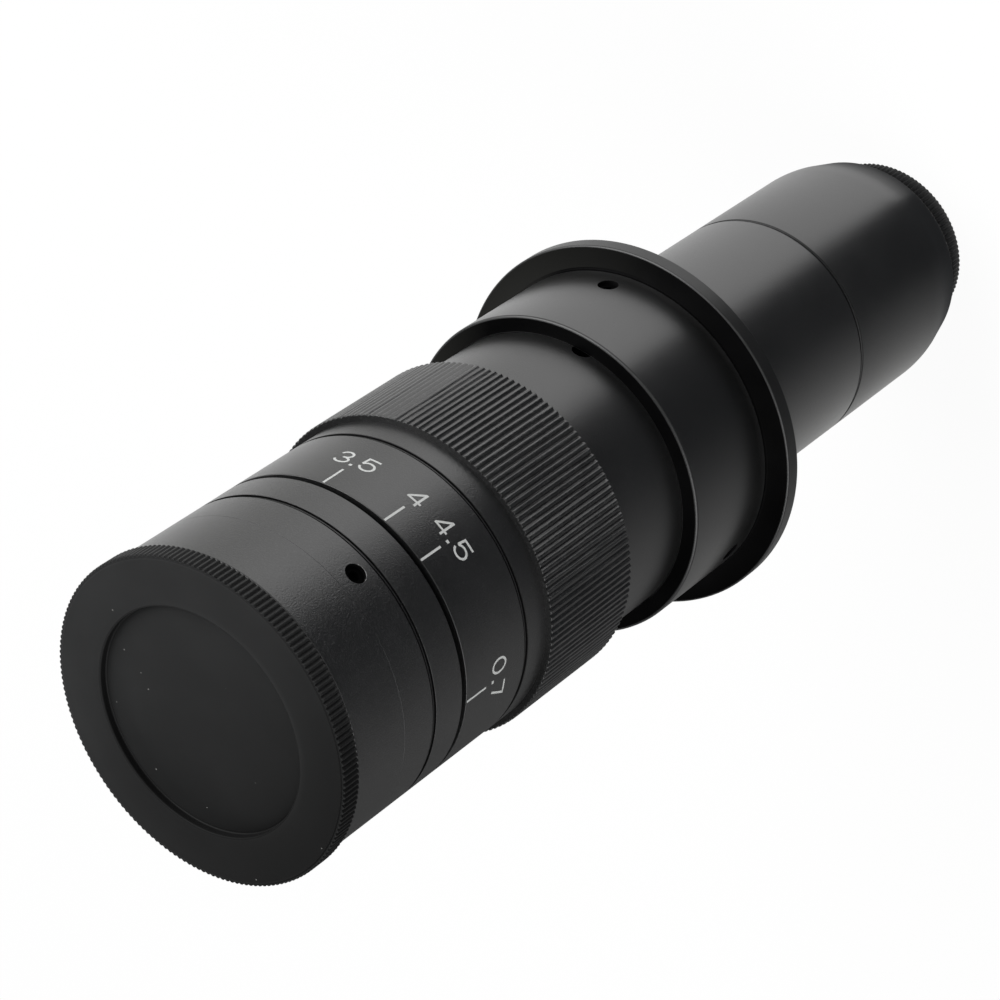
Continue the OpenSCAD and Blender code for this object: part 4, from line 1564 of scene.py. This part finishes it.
@dataclass
class ScalePrint:
    """White lines and figures on the zoom scale, and the index line beside it.

    A label's azimuth is where its line stands when the ring is at rest.
    """

    radius: float = BARREL_R
    proud: float = 0.008
    layer: float = 0.001
    tick_low: float = 143.85
    tick_high: float = 148.12
    tick_width: float = 0.34
    base_z: float = 142.6
    pitch: float = 2.03
    index_az: float = 136.0
    index_low: float = 149.4
    index_high: float = 153.8
    labels: tuple[tuple[str, float], ...] = (
        ("0.7", -50.0), ("4.5", 2.0), ("4", 19.5), ("3.5", 45.0), ("3", 92.0), ("2.5", 128.0),
        ("2", 168.0), ("1.5", 212.0), ("1", 262.0))

    def _sides(self, stroke: Stroke) -> tuple[list[Point2], list[Point2]]:
        """Widens a stroke to its two side lines.

        Args:
            stroke: The stroke.

        Returns:
            The left and the right side, point by point.
        """
        points = [Vector(p) for p in stroke.points]
        looped = (points[0] - points[-1]).length < 1e-4
        half = stroke.width / 2
        left: list[Point2] = []
        right: list[Point2] = []
        for i, here in enumerate(points):
            before = points[i - 1] if i else (points[-2] if looped else None)
            after = points[i + 1] if i + 1 < len(points) else (points[1] if looped else None)
            d0 = (here - before).normalized() if before is not None else None
            d1 = (after - here).normalized() if after is not None else None
            along = ((d0 or d1) + (d1 or d0)).normalized()
            side = Vector((-along.y, along.x))
            bend = side.dot(Vector((-(d0 or d1).y, (d0 or d1).x)))
            reach = half / max(0.5, bend)
            left.append(tuple(here + side * reach))
            right.append(tuple(here - side * reach))
        return left, right

    def _label(self, text: str) -> list[Stroke]:
        """Strokes of a whole label, middled on its line.

        Args:
            text: Figures and at most one point.

        Returns:
            The strokes in millimetres, reading to the right.
        """
        middle = (len(text) - 1) / 2
        strokes = []
        for place, figure in enumerate(text):
            shift = (place - middle) * self.pitch
            for stroke in FIGURES[figure]:
                strokes.append(Stroke([(x + shift, y) for x, y in stroke.points], stroke.width))
        return strokes

    def _wrap(self, made: bmesh.types.BMesh, strokes: Iterable[Stroke], azimuth: float,
              base: float) -> None:
        """Lays strokes round the ring as thin paint, with their tops toward the camera end.

        Args:
            made: The mesh that takes them.
            strokes: The strokes, across and up, in millimetres.
            azimuth: Place of their middle in degrees.
            base: Height of their base line.
        """
        for layer, stroke in enumerate(strokes):
            out = self.radius + self.proud + self.layer * layer
            rows = []
            for pair in zip(*self._sides(stroke)):
                row = []
                for x, y in pair:
                    a = math.radians(azimuth) - x / self.radius
                    row.append(made.verts.new(
                        (out * math.sin(a) * MM, -out * math.cos(a) * MM, (base - y) * MM)))
                rows.append(row)
            for low, high in zip(rows, rows[1:]):
                made.faces.new((low[0], low[1], high[1], high[0])).smooth = True

    def _finish(self, made: bmesh.types.BMesh, name: str) -> bpy.types.Mesh:
        """Turns the print outward.

        Args:
            made: The print.
            name: Name of its mesh.

        Returns:
            The print's mesh.
        """
        for face in made.faces:
            middle = face.calc_center_median()
            face.normal_update()
            if face.normal.dot(Vector((middle.x, middle.y, 0))) < 0:
                face.normal_flip()
        return as_mesh(made, name)

    def _tick(self, low: float, high: float) -> list[Stroke]:
        """A line of the scale, rising from its base line."""
        return [Stroke(line((0.0, 0.0), (0.0, high - low)), self.tick_width)]

    def build(self) -> None:
        """Prints the zoom scale on the ring and the index line on the fixed ring."""
        made = bmesh.new()
        for text, azimuth in self.labels:
            self._wrap(made, self._label(text), azimuth, self.base_z)
            self._wrap(made, self._tick(self.tick_low, self.tick_high), azimuth, self.tick_high)
        add_piece("scale_print", self._finish(made, "scale_print"), Body.ZOOM,
                  (PRINT_WHITE,))
        made = bmesh.new()
        self._wrap(made, self._tick(self.index_low, self.index_high), self.index_az, self.index_high)
        add_piece("index_print", self._finish(made, "index_print"), Body.BARREL,
                  (PRINT_WHITE,))


def groove_floor(low: float) -> list[Corner]:
    """The floor of a groove between two rings: painted shade in the corner, then a satin strip, then
    painted shade again.

    Args:
        low: Height at which the groove starts.

    Returns:
        The corners on the floor.
    """
    start, end = GROOVE_STRIP
    return [*corners_of(Slot.INSIDE, (GROOVE_R, low)), *corners_of(Slot.FACE, (GROOVE_R, low + start)),
            *corners_of(Slot.INSIDE, (GROOVE_R, low + end))]


@dataclass
class ZoomRing:
    """Turning zoom ring: knurled grip, plain band and the engraved scale ring."""

    crest_r: float = 24.3
    low: float = 111.2
    band_low: float = 130.3
    band_top: float = 134.45
    spigot_top: float = 147.65
    bore_r: float = 20.3
    skirt_r: float = 22.7
    skirt_top: float = 114.6
    scale_low: float = 135.15
    scale_top: float = 148.25
    spring_r: float = 22.3
    spring_gap: float = 0.4
    knurl: Knurl = Knurl(152, 0.32, crest=0.4, worn=(21, 40))

    def build(self) -> None:
        """Builds and dresses the grip and the scale ring."""
        self._grip()
        self._scale()

    def _grip(self) -> None:
        """Builds the knurled grip with its band and spigot."""
        c, low, band = self.crest_r, self.low, self.band_low
        root = c - self.knurl.depth
        rings = [
            *stops_of(Slot.MAIN, (self.skirt_r + 0.1, low), (root - 0.05, low)),
            *stops_of(Slot.EDGE, (c - 0.1, low), (c - 0.03, low + 0.05)),
            *stops_of(Slot.RIM, (c, low + 0.14), (c, low + 0.2), (c, band - 0.2)),
            *stops_of(Slot.EDGE, (c, band - 0.14), (c - 0.03, band - 0.05)),
            *stops_of(Slot.FACE, (c - 0.1, band), (root - 0.05, band)),
            *stops_of(Slot.MAIN, (BARREL_R, band), (BARREL_R, self.band_top - 0.13)),
            *stops_of(Slot.EDGE, (BARREL_R, self.band_top - 0.08), (BARREL_R - 0.02, self.band_top - 0.02)),
            *stops_of(Slot.INSIDE, (BARREL_R - 0.08, self.band_top), (SPIGOT_R, self.band_top),
                      (SPIGOT_R, self.spigot_top), (self.bore_r, self.spigot_top),
                      (self.bore_r, self.skirt_top), (self.skirt_r, self.skirt_top)),
            Stop(self.skirt_r, low + 0.1, Slot.EDGE)]
        turning = KnurledTurning(rings, knurl=self.knurl, crest_r=c)
        turning.add("zoom_grip", Body.ZOOM, "grip_anodised",
                    SCALE_ANODISED, EDGE_WORN, INNER_BLACK, GRIP_FACE, GRIP_ANODISED)

    def _scale(self) -> None:
        """Builds the scale ring."""
        spring_z = self.spigot_top - self.spring_gap
        corners = [
            Corner(SPIGOT_R, self.band_top), *groove_floor(self.band_top),
            *corners_of(Slot.INSIDE, (GROOVE_R, self.scale_low), (BARREL_R - 0.05, self.scale_low)),
            Corner(BARREL_R, self.scale_low + 0.1, 0.03), Corner(BARREL_R, self.scale_top, 0.12),
            Corner(self.spring_r, self.scale_top, 0.05, Slot.INSIDE),
            *corners_of(Slot.INSIDE, (self.spring_r, spring_z), (SPIGOT_R, spring_z))]
        turning = Turning(eased(corners), around=360)
        turning.add("scale_ring", Body.ZOOM, "scale_anodised",
                    SCALE_ANODISED, EDGE_WORN, INNER_BLACK, GROOVE_SATIN)


@dataclass
class FrontEnd:
    """Fixed front end: index ring, front barrel with its screws, and the nose with its thread."""

    index_low: float = 149.25
    index_top: float = 154.85
    barrel_low: float = 155.55
    barrel_top: float = 161.65
    nose_top: float = 171.45
    spring_z: float = 147.95
    guide_r: float = 18.4
    washer_r: float = 21.3
    bore_r: float = 21.0
    bore_z: float = 153.05
    spigot_z: float = 154.55
    nose_bore: float = 16.5
    glass_r: float = 18.0
    glass_z: float = 157.55
    thread_r: float = 20.0
    thread_z: float = 166.85
    hole: Hole = Hole(158.35, 1.5, 1.6, 0.06, Slot.RIM)
    hole_az: float = 10.3
    thread: ScrewThread = ScrewThread(0.75, 0.32)

    def build(self) -> None:
        """Builds and dresses the three pieces."""
        self._index_ring()
        self._front_barrel()
        self._nose()

    def _index_ring(self) -> None:
        """Builds the index ring."""
        corners = [
            Corner(SPIGOT_R, self.index_low), Corner(BARREL_R, self.index_low, 0.12),
            Corner(BARREL_R, self.index_top, 0.06, Slot.INSIDE), *groove_floor(self.index_top),
            Corner(GROOVE_R, self.barrel_low), *corners_of(Slot.INSIDE, (SPIGOT_R, self.barrel_low))]
        turning = Turning(eased(corners), around=360)
        turning.add("index_ring", Body.BARREL, "black_anodised",
                    FRONT_ANODISED, EDGE_WORN, INNER_BLACK, GROOVE_SATIN)

    def _front_barrel(self) -> None:
        """Builds the front barrel with its three screw holes."""
        corners = [
            *corners_of(Slot.INSIDE, (self.washer_r, self.spring_z), (SPIGOT_R, self.spring_z),
                        (SPIGOT_R, self.barrel_low), (BARREL_R - 0.06, self.barrel_low)),
            Corner(BARREL_R, self.barrel_low + 0.12, 0.03), Corner(BARREL_R, self.barrel_top, 0.05),
            *corners_of(Slot.INSIDE, (self.bore_r, self.barrel_top), (self.bore_r, self.bore_z),
                        (self.guide_r, self.bore_z), (self.guide_r, self.index_low),
                        (self.washer_r, self.index_low))]
        turning = Turning(eased(corners), around=360, start=self.hole_az, holes=(self.hole,))
        turning.add("front_barrel", Body.BARREL, "black_anodised",
                    FRONT_ANODISED, EDGE_WORN, INNER_BLACK, INNER_BLACK, EDGE_CHIPPED)

    def _nose(self) -> None:
        """Builds the nose ring with its inner accessory thread."""
        corners = [
            *corners_of(Slot.INSIDE, (self.nose_bore, self.spigot_z), (self.bore_r, self.spigot_z)),
            Corner(self.bore_r, self.barrel_top), Corner(BARREL_R, self.barrel_top, 0.05),
            Corner(BARREL_R, self.nose_top, 0.28), Corner(self.thread_r + 0.3, self.nose_top, 0.05)]
        rings = eased(corners)[:-1]
        low, high = self.thread_z + 0.1, self.nose_top - 0.3
        rows = round((high - low) / self.thread.pitch * self.thread.rows)
        rings += [Stop(self.thread_r, high + (low - high) * k / rows, Slot.INSIDE)
                  for k in range(rows + 1)]
        rings += stops_of(Slot.INSIDE, (self.thread_r, self.thread_z), (self.glass_r, self.thread_z),
                          (self.glass_r, self.glass_z), (self.nose_bore, self.glass_z))
        turning = ThreadedTurning(rings, around=240, thread=self.thread, crest_r=self.thread_r,
                                  ends=(low, high), side=-1.0)
        turning.add("nose_ring", Body.BARREL, "black_anodised",
                    FRONT_ANODISED, EDGE_WORN, THREAD_BLACK)


@dataclass
class CarriedParts:
    """Screws, glass and inner works that keep their CAD shape and take a finish here."""

    finishes: dict[str, Finish] = field(default_factory=lambda: dict(NODE_FINISHES))

    def dress(self) -> None:
        """Gives each node its finish."""
        for name, finish in self.finishes.items():
            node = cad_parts[name]
            made = finish.material()
            if not node.material_slots:
                node.data.materials.append(made)
            for slot in node.material_slots:
                slot.material = made
            LOG.info("%s: finish %s", name, finish.name)


# Studio.


@dataclass(frozen=True)
class Lamp:
    """A soft rectangular lamp: where it stands, what it points at, size and power."""

    name: str
    at: Point3
    aim: Point3
    size: Point2
    power: float


@dataclass
class Studio:
    """Pale floor, soft lamps, glowing cards that paint reflections, plain surroundings and the camera."""

    focal: float = 121.19
    sensor: float = 36.0
    camera_at: Point3 = (0.0, -340.108, LENS_LENGTH + 269.933)
    right: Point3 = (-0.5718, -0.57703, -0.58316)
    up: Point3 = (0.82038, -0.40488, -0.40378)
    back: Point3 = (-0.00312, -0.7093, 0.7049)
    floor_half: float = 3000.0
    border: Point2 = (14.5, 28.8)
    card_rear: Point2 = (180.0, 180.0)
    card_reach: Point2 = (15.0, 2400.0)
    card_z: float = 0.5
    card_steps: int = 40
    sky: float = 0.03
    sky_low: float = 0.12
    sky_high: float = 0.42
    lamps: tuple[Lamp, ...] = (
        Lamp("key_lamp", (1150.0, -200.0, 1050.0), (0.0, 0.0, 0.0), (1700.0, 1500.0), 34.0),
        Lamp("fill_lamp", (-1150.0, -300.0, 1150.0), (0.0, 0.0, 0.0), (1500.0, 1400.0), 18.0),
    )

    def build(self) -> None:
        """Sets up camera, floor, the glowing cards that paint reflections, surroundings and lamps."""
        self._camera()
        self._floor()
        self._card("front_painted_reflection_card", PAINTED_REFLECTION_FRONT, self.border, tuple(a - 360.0 for a in self.card_rear))
        self._card("side_painted_reflection_card", PAINTED_REFLECTION_SIDE, self.card_rear, self.border)
        self._surroundings()
        for lamp in self.lamps:
            self._lamp(lamp)
        bpy.context.scene.view_settings.view_transform = "Standard"

    def _camera(self) -> None:
        """Places the camera as the photograph was taken."""
        data = bpy.data.cameras.new("camera")
        data.lens = self.focal
        data.sensor_width = self.sensor
        data.clip_start, data.clip_end = 0.01, 20.0
        camera = placed("camera", data)
        turn = Matrix((self.right, self.up, self.back)).transposed()
        turn = turn.to_quaternion().to_matrix()
        camera.matrix_world = Matrix.Translation(Vector(self.camera_at) * MM) @ turn.to_4x4()
        bpy.context.scene.camera = camera

    def _floor(self) -> None:
        """Lays the floor."""
        made = bmesh.new()
        bmesh.ops.create_grid(made, x_segments=24, y_segments=24, size=self.floor_half * MM)
        data = as_mesh(made, "floor")
        data.materials.append(FLOOR_PALE.material())
        floor = placed("floor", data)

    def _card(self, name: str, finish: Finish, start: Point2, end: Point2) -> None:
        """Lays a glowing card on the floor round the lens, which only reflections see: a painted
        reflection.

        Args:
            name: Name of the card.
            finish: Its finish.
            start: Azimuths in degrees of the inner and outer end of one side.
            end: The same for the other side.
        """
        made = bmesh.new()
        rows = []
        for k in range(self.card_steps + 1):
            row = []
            for r, a0, a1 in zip(self.card_reach, start, end):
                a = math.radians(a0 + (a1 - a0) * k / self.card_steps)
                row.append(made.verts.new(
                    (r * math.sin(a) * MM, -r * math.cos(a) * MM, self.card_z * MM)))
            rows.append(row)
        for low, high in zip(rows, rows[1:]):
            made.faces.new((low[0], high[0], high[1], low[1]))
        data = as_mesh(made, name)
        data.materials.append(finish.material())
        card = placed(name, data)
        card.visible_camera = card.visible_diffuse = card.visible_shadow = False
        card.visible_transmission = card.visible_volume_scatter = False

    def _surroundings(self) -> None:
        """Sets the world: white to the camera, and a white horizon under a dark ceiling to metal."""
        world = bpy.data.worlds.new("studio")
        bpy.context.scene.world = world
        sheet = Sheet(world)
        up = sheet.axes(sheet.out("ShaderNodeTexCoord", "Generated"))[2]
        seen, mirrored = sheet.rays()
        share = seen.at_least(mirrored * up.over(self.sky_high, self.sky_low))
        dim, white = (sheet.out("ShaderNodeBackground", 0, {}, {"Color": rgba(WHITE), "Strength": level})
                      for level in (self.sky, 1.0))
        mixed = sheet.out("ShaderNodeMixShader", 0, {}, {0: share, 1: dim, 2: white})
        sheet.node("ShaderNodeOutputWorld", {}, {"Surface": mixed})
        world.cycles.sampling_method = "NONE"

    def _lamp(self, lamp: Lamp) -> None:
        """Adds a lamp.

        Args:
            lamp: The lamp.
        """
        data = bpy.data.lights.new(lamp.name, "AREA")
        data.shape = "RECTANGLE"
        data.size, data.size_y = lamp.size[0] * MM, lamp.size[1] * MM
        data.energy = lamp.power
        holder = placed(lamp.name, data)
        at, aim = Vector(lamp.at) * MM, Vector(lamp.aim) * MM
        holder.location = at
        holder.rotation_euler = (aim - at).to_track_quat("-Z", "Y").to_euler()


def main() -> None:
    """Builds the studio and every piece of the lens in order."""
    logging.basicConfig(level=logging.INFO, format="%(message)s")
    Studio().build()
    CarriedParts().dress()
    RearCap().build()
    CameraEnd().build()
    MainBody().build()
    ZoomRing().build()
    ScalePrint().build()
    FrontEnd().build()
    FrontCap().build()


if __name__ == "__main__":
    main()
